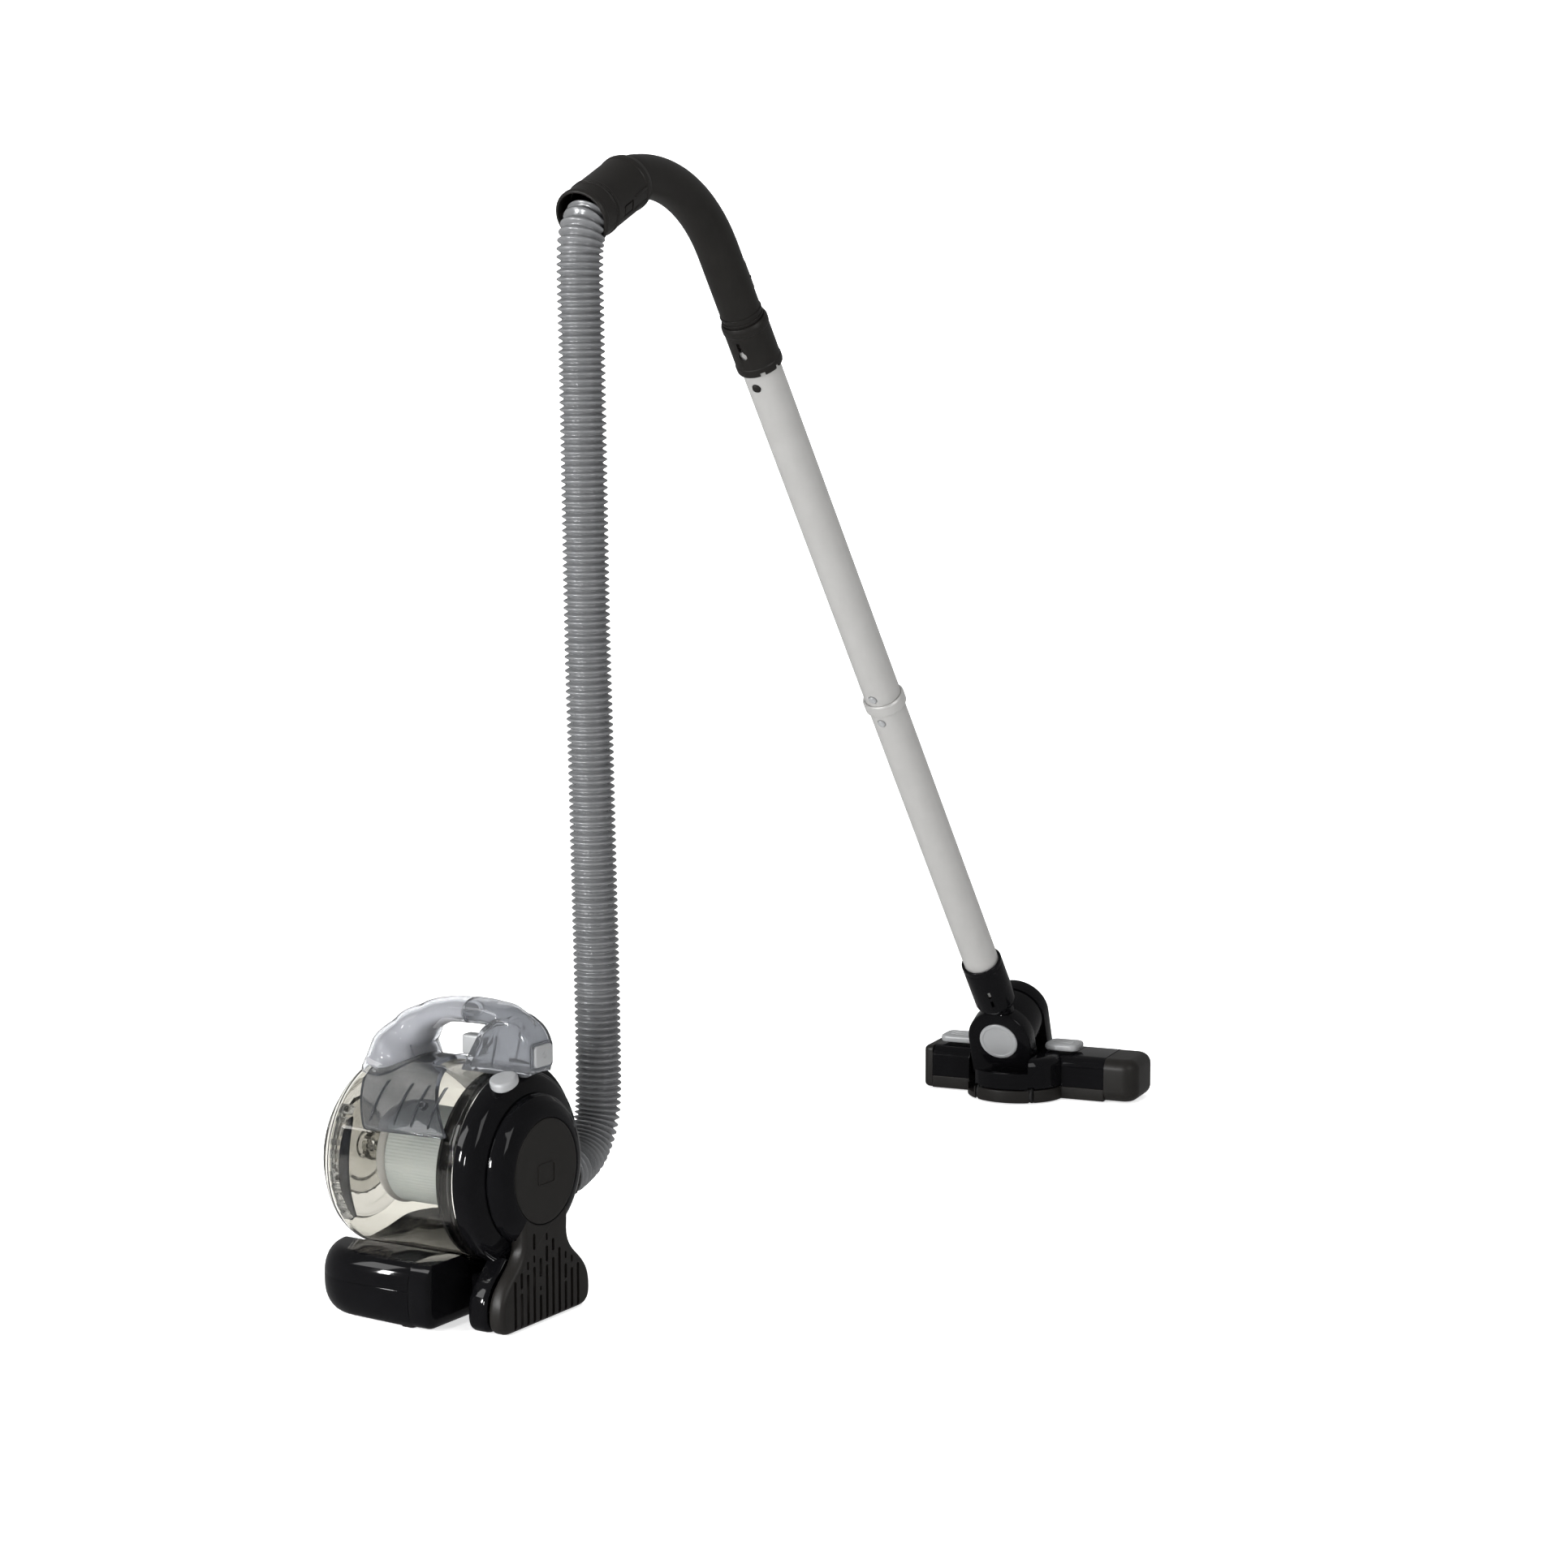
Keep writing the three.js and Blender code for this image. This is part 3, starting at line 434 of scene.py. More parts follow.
FINISH = {
    "gloss_black": finish("gloss_black", (0.0022, 0.0022, 0.0026), (0.0038, 0.0038, 0.0044),
                          (0.04, 0.09), shine=0.2),
    "matte_black": finish("matte_black", (0.0085, 0.0078, 0.0070), (0.0125, 0.0114, 0.0102),
                          (0.34, 0.44), bump=0.25, shine=0.3),
    "clear_bowl": finish("clear_bowl", (0.65, 0.64, 0.60), (0.69, 0.68, 0.64),
                         (0.015, 0.03), see=1.0, bend=1.3),
    "smoke": finish("smoke", (0.60, 0.61, 0.63), (0.66, 0.67, 0.69), (0.04, 0.08),
                    see=0.95, bend=1.2),
    "silver_plastic": finish("silver_plastic", (0.27, 0.275, 0.28), (0.32, 0.325, 0.33),
                             (0.28, 0.38), metal=0.15, bump=0.1),
    "liner": finish("liner", (0.78, 0.77, 0.78), (0.84, 0.83, 0.84), (0.3, 0.42)),
    "filter_white": finish("filter_white", (0.46, 0.50, 0.50), (0.56, 0.60, 0.60),
                           (0.6, 0.75), bump=0.3),
    "rubber": finish("rubber", (0.006, 0.006, 0.006), (0.012, 0.012, 0.012), (0.6, 0.8),
                     bump=0.3),
    "wand_metal": finish("wand_metal", (0.44, 0.436, 0.425), (0.49, 0.486, 0.475),
                         (0.30, 0.40), metal=0.4, bump=0.05),
    "hose_grey": finish("hose_grey", (0.150, 0.153, 0.158), (0.195, 0.198, 0.203),
                        (0.2, 0.3), metal=0.3),
    "steel": finish("steel", (0.25, 0.25, 0.26), (0.35, 0.35, 0.36), (0.2, 0.3), metal=0.9),
    "circuit": finish("circuit", (0.01, 0.06, 0.03), (0.02, 0.10, 0.05), (0.4, 0.6)),
    "cell_wrap": finish("cell_wrap", (0.02, 0.10, 0.28), (0.03, 0.14, 0.36), (0.3, 0.4)),
    "door_clear": finish("door_clear", (0.56, 0.55, 0.52), (0.62, 0.61, 0.58), (0.03, 0.06),
                         see=1.0),
    "hood_smoke": finish("hood_smoke", (0.27, 0.28, 0.30), (0.33, 0.34, 0.36), (0.04, 0.08),
                         see=0.92, bend=1.3),
    "block_smoke": finish("block_smoke", (0.36, 0.37, 0.39), (0.42, 0.43, 0.45), (0.04, 0.08),
                          see=0.9, bend=1.3),
    "lens": finish("lens", (0.03, 0.035, 0.05), (0.05, 0.055, 0.075), (0.06, 0.12), see=0.5),
    "filter_mesh": finish("filter_mesh", (0.82, 0.90, 0.94), (0.94, 0.99, 1.0), (0.6, 0.75),
                          bump=0.5),
}


# ---- camera: the row's own view ----
def add_camera():
    data = bpy.data.cameras.new("row_camera")
    data.sensor_width = 36.0
    data.lens = 74.53
    data.dof.use_dof = False
    data.clip_start = 0.01
    camera = bpy.data.objects.new("row_camera", data)
    camera.location = (1.50535, -2.00954, 0.717)
    aim = Vector((-0.5113, 0.8510, -0.1201))
    camera.rotation_mode = "QUATERNION"
    camera.rotation_quaternion = aim.to_track_quat("-Z", "Y")
    bpy.context.scene.collection.objects.link(camera)
    bpy.context.scene.camera = camera


# ---- corrugated hose ----
def add_hose():
    rib_count = 146
    step = 0.75
    points, length = smooth_path(HOSE_ROUTE, step)
    radii = []
    for i in range(len(points)):
        share = i / (len(points) - 1)
        wave = 0.5 - 0.5 * math.cos(2 * math.pi * rib_count * share ** 0.965)
        radii.append(HOSE_VALLEY + (HOSE_R - HOSE_VALLEY) * wave ** 0.9)
    hose = swept("corrugated_hose", points, radii, sides=56, bore=HOSE_VALLEY - 1.2)
    done(hose, "hose_grey", "canister", "hose", crease=80)


add_camera()
add_hose()


# ---- motor housing, rear cover and what sits behind the clear collar ----
def bezier(a, b, c, d, t):
    return a * (1 - t) ** 3 + 3 * b * t * (1 - t) ** 2 + 3 * c * t * t * (1 - t) + d * t ** 3


def column_outline(grow, top=84):
    """The rear column's closed outline in the YZ plane: one half, then its mirror image."""
    foot = 60 - grow
    waist = 30 - grow
    floor = grow
    half = [(0, floor)]
    for k in range(9):
        t = k / 8
        half.append((foot - 14 * (1 - t) ** 2, floor + 14 * t * t))
    for k in range(1, 21):
        t = k / 20
        half.append((bezier(foot, foot + 1, waist, waist, t), bezier(floor + 14, 44, 44, 68, t)))
    half.append((waist, top))
    return half + [(-y, z) for y, z in reversed(half[1:])]


COLUMN_PLACE = Matrix(((0, 0, 1, 0), (1, 0, 0, 0), (0, 1, 0, 0), (0, 0, 0, 1)))


def column(name, grow, x0, x1, ease, top=84):
    return slab(name, column_outline(grow, top), x0, x1, ease, COLUMN_PLACE, steps=6)


VENT_PITCH = 8.4
# spans of height that each column of air slots covers, near side first
VENTS = [
    [(2.5, 41)],
    [(2.5, 30), (33, 46)],
    [(2.5, 43), (46, 53)],
    [(2.5, 47), (50, 56), (60, 73)],
    [(2.5, 23), (26, 30), (37, 52)],
    [(2.5, 45), (47, 60), (64, 70)],
    [(2.5, 49), (54, 64)],
    [(2.5, 55)],
    [(2.5, 26), (28, 40), (44, 50)],
    [(2.5, 35), (39, 45)],
    [(2.5, 37)],
]


def add_housing():
    start = BOWL_BACK + GAP
    bulge = turned("motor_housing", [
        (start, 72.4), (start, 75.2), (51.2, 76), (57, 76), (62, 74.9), (65.6, 71.4),
        (67.6, 67), (69.2, 62.6), (SHELL_SPLIT, 60.2), (SHELL_SPLIT, 58.2), (66, 64), (62, 70),
        (56, 72.4)], BARREL, radius=2.2, sides=160, steps=6)
    leg = cut(column("leg", 0, 51, SHELL_SPLIT - 0.1, 5),
              drum(72, 40, 90), column("inside", 2.6, 53.6, 90, 0.1))
    bridge = block("bridge", BASE_REAR + GAP, 53, -32, 32, 16, 38, 4, 3)
    housing = together(bulge, bevelled(leg, 0.5), bridge)
    done(housing, "gloss_black", "canister", "motor_housing")


def add_rear_cover():
    start = SHELL_SPLIT + GAP
    cap = turned("rear_cap_ring", [
        (start, 55.6), (start, 59), (72, 59.4), (76, 58), (80.4, 53.6), (83.4, 48), (REAR_X, 43.2),
        (REAR_X, DISC_R), (82, DISC_R), (82, 20), (79.4, 20), (79.4, 47), (76.5, 52.4)],
        BARREL, radius=1.6, sides=160, steps=5)
    done(cap, "gloss_black", "canister")

    face = cut(column("rear_cover", 0.2, start, REAR_X, 5, top=104),
               drum(DISC_R + 0.4, 60, 90), drum(58, 60, 77),
               column("inside", 3.2, start - 4, REAR_X - 2.6, 0.1))
    slots = []
    for i, spans in enumerate(VENTS):
        y = (i - 5) * VENT_PITCH
        for low, high in spans:
            half = 1.65 if high - low > 8 else 1.2
            outline = round_outline(y - half, y + half, low, high, half, steps=6)
            slots.append(slab("slot", outline, REAR_X - 5, REAR_X + 3, 0.01, COLUMN_PLACE, 1))
    face = bevelled(cut(face, together(*slots)), 0.35, 2, 50)
    done(face, "matte_black", "canister", "rear_cover")


def add_rear_disc():
    disc = turned("rear_disc", [(82 + GAP, 0), (82 + GAP, DISC_R - 0.4),
                                (REAR_X, DISC_R - 0.4), (REAR_X + 0.3, DISC_R - 2.4),
                                (REAR_X + 0.3, 0)], BARREL, 0.7, 128)
    badge_at = at(REAR_X, 0, AXIS_Z - 2) @ COLUMN_PLACE
    badge = cut(block("badge", -11, 11, -8.6, 8.6, 0, 0.8, 2.6, 0.2, badge_at),
                block("inner", -10, 10, -7.6, 7.6, -2, 3, 1.8, 0.1, badge_at))
    done(together(disc, badge), "matte_black", "canister", "rear_disc")


def add_bulkhead():
    back = BOWL_BACK - GAP
    bulkhead = turned("motor_bulkhead", [
        (back, 20), (back, 73.2), (44, 73.2), (43.4, 72.4), (42.4, 72.4), (41.8, 73.2),
        (36.5, 73.2), (36.5, 70.2), (46, 70.2), (46, 20)], BARREL, 0.5, 128)
    done(bulkhead, "gloss_black", "canister", "motor_bulkhead")
    seal = turned("bowl_seal", ring(33.6, 36.2, 70.4, 73.1), BARREL, 0.7, 128)
    done(seal, "rubber", "canister", "bowl_seal")


def add_motor():
    fan = turned("fan_impeller", [(51.5, 6), (51.5, 20), (53.5, 40), (56.5, 44), (57.8, 44),
                                  (57.8, 2.9), (55, 2.9)], BARREL, 0.6, 64)
    blades = []
    for k in range(9):
        spin = BARREL @ turn(2 * math.pi * k / 9, "Z")
        blades.append(block("blade", 12, 42, -0.6, 0.6, 52.6, 54.6, 0.5, 0.2, spin, 2))
    done(together(fan, *blades), "matte_black", "fan", "fan_impeller")
    shaft = turned("motor_shaft", rod(51.5, 60.4, 2.5), BARREL, 0.3, 32)
    done(shaft, "steel", "fan", "motor_shaft")
    motor = turned("motor", [(60.8, 0), (60.8, 23), (62.3, 24.5), (77, 24.5), (78.6, 22),
                             (78.6, 0)], BARREL, 0.6, 64)
    done(motor, "steel", "canister", "motor")


# ---- clear bowl, door, wheel and filter ----
def add_bowl():
    bowl = turned("bowl", [
        (BOWL_BACK, BOWL_R - WALL), (BOWL_BACK, BOWL_R), (46.6, BOWL_R), (46.2, BOWL_R + 0.7),
        (44.4, BOWL_R + 0.7), (44, BOWL_R), (-62, BOWL_R), (-70, 74.5), (-77, 70.2), (-82, 64),
        (BOWL_FRONT, 58), (-83.2, 56.6), (-80.3, 62.6), (-75.6, 68.4), (-69.4, 72.6),
        (-62, BOWL_R - WALL)], BARREL, 2.4, 160, 5)
    done(bowl, "clear_bowl", "bowl", "bowl")


def add_catch_row():
    lugs = []
    for k in range(-5, 6):
        spin = math.radians(7.4 * k)
        tall = 4.4 + 2.6 * (k % 2)
        deep = 3.2 + 1.6 * (k % 3)
        lugs.append(block("lug", -deep, deep, -2.4, 2.4, -tall / 2, tall / 2, 0.9, 0.5,
                          at(-66, -69.2 * math.cos(spin), AXIS_Z + 69.2 * math.sin(spin))
                          @ turn(-spin, "X"), 3))
    rail = turned("catch_rail", ring(-69.4, -67.6, 68.2, 71.4), BARREL, 0.5, 128)
    keep(rail, plain_box(-80, -50, -90, -40, AXIS_Z - 44, AXIS_Z + 44))
    done(together(rail, *lugs), "smoke", "bowl")
    screw = turned("catch_screw", [(0, 0), (0, 2.8), (1.6, 3.1), (2.6, 1.8), (2.6, 0)],
                   at(-61.4, -68.4, AXIS_Z) @ turn(QUARTER, "Y"), 0.4, 32)
    done(screw, "steel", "bowl")
    lens = turned("bowl_lens", ring(-61, -50, 70.6, 72.8), BARREL, 0.6, 160)
    outline = [(-56 + 4.4 * math.cos(a), AXIS_Z - 2 + 40 * math.sin(a))
               for a in (2 * math.pi * k / 48 for k in range(48))]
    keep(lens, prism("lens", outline, 90))
    keep(lens, plain_box(-80, -30, -90, -10, 40, 200))
    done(lens, "lens", "bowl")


def add_door():
    back = BOWL_FRONT - GAP
    door = turned("bowl_door", [
        (back, 54), (back, 59.2), (-87, 59.2), (-89.6, 52), (-90.6, 36), (-90.6, 4.6),
        (-88.2, 4.6), (-88.2, 48), (back - 1, 51)], BARREL, 0.9, 128)
    done(door, "door_clear", "door", "bowl_door")


def add_filter_wheel():
    wheel = turned("filter_wheel", [
        (-91, 4.2), (-91, 39.6), (-95.5, 39.6), (-96.8, 37.5), (-96.8, 30), (-93.4, 27),
        (-93.4, 12), (-96, 9), (-96, 4.2)], BARREL, 0.8, 128)
    grips = []
    for k in range(24):
        spin = BARREL @ turn(2 * math.pi * k / 24, "Z")
        grips.append(block("grip", 38.6, 40.3, -1.1, 1.1, -95.4, -91.4, 0.5, 0.3, spin, 2))
    done(together(wheel, *grips), "door_clear", "wheel", "filter_wheel")
    spindle = turned("wheel_spindle", [
        (-97.4, 0), (-97.4, 3.8), (-86, 3.8), (-86, 11), (-80, 11), (-80, 4), (-62, 4), (-62, 0)],
        BARREL, 0.5, 48)
    teeth = []
    for k in range(16):
        spin = BARREL @ turn(2 * math.pi * k / 16, "Z")
        teeth.append(block("tooth", 10, 12, -1, 1, -85.8, -80.2, 0.4, 0.2, spin, 2))
    done(together(spindle, *teeth), "door_clear", "wheel", "wheel_spindle")


def add_filter():
    frame_ring = turned("filter_frame", [(31, 26), (31, 38), (41, 38), (41, 41.5), (45.7, 41.5),
                                         (45.7, 26)], BARREL, 0.8, 96)
    done(frame_ring, "filter_white", "filter", "filter_frame")
    cap = turned("filter_cap", [(-42.3, 0), (-42.3, 39.8), (-46, 41), (-50, 39.4), (-53, 33),
                                (-53, 0)], BARREL, 2.2, 128, 6)
    ribs = [block("rib", 12, 33, -0.8, 0.8, -53.8, -52.4, 0.5, 0.3,
                  BARREL @ turn(2 * math.pi * k / 6, "Z"), 2) for k in range(6)]
    done(together(cap, *ribs), "liner", "filter", "filter_cap")


def add_sleeve():
    pleats = 90
    rings = []
    for s in (-42, -41.4, 30, 30.7):
        loop = []
        for j in range(360):
            spin = 2 * math.pi * j / 360
            r = 38.7 + 0.3 * math.cos(pleats * spin)
            loop.append((r * math.cos(spin), r * math.sin(spin), s))
        rings.append(loop)
    inner = [[(36.5 * math.cos(2 * math.pi * j / 360), 36.5 * math.sin(2 * math.pi * j / 360), s)
              for j in range(360)] for s in (30.7, -42)]
    sleeve = to_object("filter_sleeve", skin(rings + inner, loop=True), BARREL)
    done(sleeve, "filter_mesh", "filter", "filter_sleeve", crease=80)


# ---- battery base ----
def base_outline():
    """Plan of the base: round nose, straight sides, square rear."""
    corner = 48
    points = [(60, -BASE_HALF), (60, BASE_HALF)]
    for start, cy in ((90, BASE_HALF - corner), (180, -BASE_HALF + corner)):
        for k in range(19):
            angle = math.radians(start + 90 * k / 18)
            points.append((BASE_NOSE + corner + corner * math.cos(angle),
                           cy + corner * math.sin(angle)))
    return points


def base_shell(name, x0, x1, z0, z1):
    whole = slab(name, base_outline(), BASE_FLOOR, BASE_TOP, 14, HERE, 9, lift=22)
    cut(whole, drum(BOWL_R + 1.2, -120, 80))
    return bevelled(keep(whole, plain_box(x0, x1, -100, 100, z0, z1)), 0.5, 2, 35)


def add_base():
    front = CAP_SPLIT - GAP / 2
    lower = base_shell("base_lower_shell", -120, front, 0, BASE_SPLIT - GAP / 3)
    pad = block("pad", -30, CAP_SPLIT - 1, -30, 30, 0, BASE_FLOOR + 2, 8, 1)
    done(together(lower, pad), "gloss_black", "canister", "base_lower_shell")
    done(base_shell("base_upper_shell", -120, front, BASE_SPLIT + GAP / 3, 70),
         "gloss_black", "canister", "base_upper_shell")
    rear = base_shell("base_rear_cap", CAP_SPLIT + GAP / 2, BASE_REAR + 5, 0, 70)
    rounder = slab("rounder", round_outline(-BASE_HALF, BASE_HALF, BASE_FLOOR, BASE_TOP + 30, 14),
                   -60, BASE_REAR, 7, COLUMN_PLACE, 8)
    rear = keep(rear, rounder)
    cut(rear, turned("bore", rod(20, 60, 5.8), at(0, 56, 24) @ turn(QUARTER, "Y"), 0, 48))
    done(rear, "gloss_black", "canister", "base_rear_cap")
    socket = turned("charge_socket", [
        (20.4, 0), (20.4, 5.5), (BASE_REAR + 0.6, 5.5), (BASE_REAR + 0.6, 3), (24, 3), (24, 0)],
        at(0, 56, 24) @ turn(QUARTER, "Y"), 0.4, 48)
    pin = turned("pin", rod(23.5, 31, 0.9), at(0, 56, 24) @ turn(QUARTER, "Y"), 0.2, 24)
    done(together(socket, pin), "matte_black", "canister", "charge_socket")


def add_feet():
    for i, y in enumerate((-66, 66)):
        foot = block(f"rest_foot_{i + 1}", -4, 8, y - 5, y + 5, 0, BASE_FLOOR - GAP, 3, 0.6)
        groove = plain_box(1.4, 2.6, y - 6, y + 6, -1, 0.8)
        done(cut(foot, groove), "rubber", "canister", f"rest_foot_{i + 1}")


def add_battery():
    places = [(-62, -34), (-62, 34), (-36, -34), (-36, 34)]
    for i, (x, y) in enumerate(places):
        cell = turned(f"battery_cell_{i + 1}", [
            (-27, 0), (-27, 8.6), (-26.4, 9.2), (26, 9.2), (26.4, 8), (26.4, 4), (27, 4), (27, 0)],
            at(x, y, 16) @ turn(QUARTER, "X"), 0.4, 48)
        done(cell, "cell_wrap", "canister", f"battery_cell_{i + 1}")
    board = block("circuit_board", -66, -8, -50, 50, 28, 29.6, 2, 0.2)
    chips = [block("chip", x - 4, x + 4, y - 4, y + 4, 29.5, 31.4, 0.6, 0.3)
             for x in (-54, -20) for y in (-34, 0, 34)]
    done(together(board, *chips), "circuit", "canister", "circuit_board")


# ---- carrying handle ----
def limb(name, stations, wall=0, count=48, power=0.86):
    """A hollow or solid limb in the XZ plane; each station is (x, z, half thickness, half width)."""
    path = [(x, 0, z) for x, z, _, _ in stations]
    fine, _ = smooth_path(path, 2.0)
    total = [0]
    for a, b in zip(path, path[1:]):
        total.append(total[-1] + (Vector(b) - Vector(a)).length)
    rings = []
    for i, point in enumerate(fine):
        where = total[-1] * i / (len(fine) - 1)
        k = max(j for j in range(len(total) - 1) if total[j] <= where + 1e-6)
        t = (where - total[k]) / (total[k + 1] - total[k])
        t = t * t * (3 - 2 * t)
        thick = stations[k][2] * (1 - t) + stations[k + 1][2] * t
        wide = stations[k][3] * (1 - t) + stations[k + 1][3] * t
        along = (fine[min(i + 1, len(fine) - 1)] - fine[max(i - 1, 0)]).normalized()
        loop = []
        for j in range(count):
            spin = 2 * math.pi * j / count
            c = math.copysign(abs(math.cos(spin)) ** power, math.cos(spin))
            s = math.copysign(abs(math.sin(spin)) ** power, math.sin(spin))
            loop.append((point.x - along.z * thick * c, wide * s, point.z + along.x * thick * c))
        rings.append(loop)
    if not wall:
        return to_object(name, skin(rings))
    return hollowed(to_object(name, skin(rings, close_ends=False)), wall)


HANDLE_SEAT = BOWL_R + 1.3
HANDLE_WALL = 2.4
END_FACE = at(REAR_END, 0, POWER_Z) @ COLUMN_PLACE
FRONT_LIMB = [(-52, 186, 26, 40), (-49, 202, 23.5, 33), (-38.5, 218.5, 16.8, 22.5),
              (-22, 231.5, 11.4, 17), (-4, 237.5, 10, 15.2), (12, 238.6, 9.8, 15.2),
              (17, 238.7, 9.8, 15.2)]
LINER_LIMB = [(-52, 191, 22, 35), (-49.4, 202, 20, 29), (-41, 216, 13.8, 19), (-22, 230.6, 8.4, 13),
              (-4, 236.6, 7.2, 12.2), (14, 237.8, 6.6, 12)]
REAR_LIMB = [(17.5, 239, 9.9, 15.4), (24, 239, 9.8, 15.2), (36, 238.4, 9.8, 15),
             (50, 234, 12, 16), (60, 224, 15, 17), (62, 212, 17, 17)]
BLOCK_SIDE = [(11, 188), (77, 188), (REAR_END, 199), (REAR_END, 220), (75, 230), (62, 238),
              (48, 239), (34, 228)]
INNER_SIDE = [(16, 184), (74, 184), (78.4, 199), (78.4, 219), (73.4, 227.6), (61, 235),
              (50, 235.4), (37, 226)]


def prism(name, outline, half, ease=0):
    """A slab lying across the handle: outline in XZ, from -half to half in Y."""
    stand_up = Matrix(((1, 0, 0, 0), (0, 0, -1, 0), (0, 1, 0, 0), (0, 0, 0, 1)))
    return slab(name, outline, -half, half, ease, stand_up, 4)


def add_hood():
    hood = turned("handle_front", ring(-57, 42, HANDLE_SEAT, BOWL_R + 4.2), BARREL, 0.6, 160)
    side = eased([(-60, 190), (-36, 152), (33, 153), (-6, 195), (-10, 210), (-66, 210)], 4)
    flap = eased([(-50, 190), (-36, 152), (42, 153), (0, 200)], 3)
    reach = cut(prism("flap", flap, 85), plain_box(-120, 120, -20, 120, 0, 300))
    keep(hood, join(prism("side", side, 80), reach))
    hood = bevelled(hood, 0.5, 2, 50)
    ribs = []
    for x in (-31, -8, 8, 24):
        ribs.append(keep(turned("rib", ring(x - 0.7, x + 0.7, BOWL_R + 4, BOWL_R + 6), BARREL,
                                0.2, 128), plain_box(-40, 33, -70, -24, 155, 186)))
    boss = turned("boss", [(0, 0), (0, 3.8), (5, 3.4), (5, 1.6), (3, 1.6), (3, 0)],
                  at(12, -57.5, 172) @ turn(math.radians(56), "X"), 0.5, 40)
    done(together(hood, *ribs, boss), "hood_smoke", "canister", "handle_front")


def add_front_limb():
    shell = cut(limb("limb", FRONT_LIMB, wall=HANDLE_WALL), drum(HANDLE_SEAT, -120, 90))
    lips = []
    for side_y in (-1, 1):
        edge = [(x, side_y * y, z) for x, y, z in
                ((-33, 16, 208.5), (-26, 17.5, 196), (-12, 20, 196.5), (-6.5, 21, 197.5))]
        line, _ = smooth_path(edge, 1.0)
        lips.append(swept("lip", line, [0.9] * len(line), 12))
    done(together(shell, *lips), "smoke", "canister", "handle_front")


def add_liner():
    liner = cut(limb("handle_liner", LINER_LIMB), drum(BOWL_R + 4.6, -120, 90))
    done(bevelled(liner, 1.2, 3, 50), "liner", "canister", "handle_liner")


def add_rear_grip():
    rear = cut(join(limb("handle_rear", REAR_LIMB), prism("block", eased(BLOCK_SIDE, 5), 17, 4)),
               drum(HANDLE_SEAT, -120, 120))
    cavity = join(limb("cavity", [(x, z, t - HANDLE_WALL, w - HANDLE_WALL)
                            for x, z, t, w in REAR_LIMB]),
                  prism("inside", eased(INNER_SIDE, 4), 14.4, 3))
    cut(cavity, drum(BOWL_R + 4, -120, 120))
    cut(rear, cavity, block("pocket", -12.2, 12.2, -9, 9, -5, 6, 3, 0.1, END_FACE),
        plain_box(8, 29.5, -6.4, 6.4, 203.6, 220.4))
    rear = bevelled(rear, 0.4, 2, 50)
    frame_ring = cut(block("frame", -14, 14, -10.8, 10.8, -1.4, 1.2, 4, 0.7, END_FACE),
                     block("hole", -12, 12, -8.8, 8.8, -3, 4, 2.8, 0.1, END_FACE))
    seams = []
    for side_y in (-17.2, 17.2):
        line, _ = smooth_path([(46, side_y, 200), (48.5, side_y, 211), (51, side_y, 224)], 1.0)
        seams.append(swept("seam", line, [0.9] * len(line), 12))
    done(together(rear, frame_ring, *seams), "block_smoke", "canister", "handle_rear")


def add_switches():
    power = block("power_button", -11.5, 11.5, -8.5, 8.5, -3, 3, 3.6, 1.6, END_FACE)
    mark = turned("mark", ring(2.8, 3.3, 1.9, 2.5), END_FACE, 0.2, 32)
    stroke = block("stroke", -0.35, 0.35, 0.4, 3.4, 2.8, 3.3, 0.2, 0.1, END_FACE, 2)
    done(together(power, mark, stroke), "silver_plastic", "power_switch", "power_button")
    button = block("side_button", 9, 26.5, -6, 6, 204, 220, 2.5, 2)
    done(button, "silver_plastic", "side_switch", "side_button")


def add_latch():
    latch_place = at(0, 0, AXIS_Z) @ turn(LATCH_TURN, "X") @ at(0, 0, BOWL_R)
    outline = [(64 - 11 * math.cos(a), 11.6 * math.sin(a) * (1 - 0.16 * math.cos(a)))
               for a in (2 * math.pi * k / 40 for k in range(40))]
    latch = slab("bowl_latch", outline[::-1], -2.6, 5.2, 2.4, latch_place, 6)
    done(latch, "silver_plastic", "latch", "bowl_latch")


# ---- duct, collar and cuff ----
def add_port():
    rings = []
    for k in range(53):
        angle = -30 + 2 * k
        slim = min(1, max(0, (74 - angle) / 54))
        thick = 2.6 + 5.8 * slim
        middle = BOWL_R + 1.2 + 2.6 + 5.8 * slim
        loop = []
        for j in range(48):
            spin = 2 * math.pi * j / 48
            out = math.copysign(abs(math.sin(spin)) ** 0.6, math.sin(spin))
            side = math.copysign(abs(math.cos(spin)) ** 0.6, math.cos(spin))
            r = middle + thick * out
            c, s = math.cos(math.radians(angle)), math.sin(math.radians(angle))
            loop.append((25 + 24 * side, r * c, AXIS_Z + r * s))
        rings.append(loop)
    duct = cut(to_object("inlet_duct", skin(rings)), drum(BOWL_R + 0.9, -40, 90),
               plain_box(-10, 35, 0, 100, AXIS_Z + 28, 220))
    duct = bevelled(duct, 1.5, 3, 50)
    boss = turned("boss", [(76, 18), (76, 23), (PORT[1] - GAP, 23), (PORT[1] - GAP, 18)],
                  PORT_AXIS, 1.2, 96)
    done(together(duct, boss), "gloss_black", "canister", "inlet_duct")


def add_hose_collar():
    collar = turned("hose_collar", [(PORT[1], 17.6), (PORT[1], 22), (98, 22), (98.6, 21.3),
                                    (107.4, 21.3), (107.7, 20.6), (107.7, 17.6)], PORT_AXIS, 0.7)
    grips = [block("grip", 21, 22, -1, 1, 99.5, 106.5, 0.4, 0.3,
                   PORT_AXIS @ turn(2 * math.pi * k / 20, "Z"), 2) for k in range(20)]
    done(together(collar, *grips), "matte_black", "canister", "hose_collar")


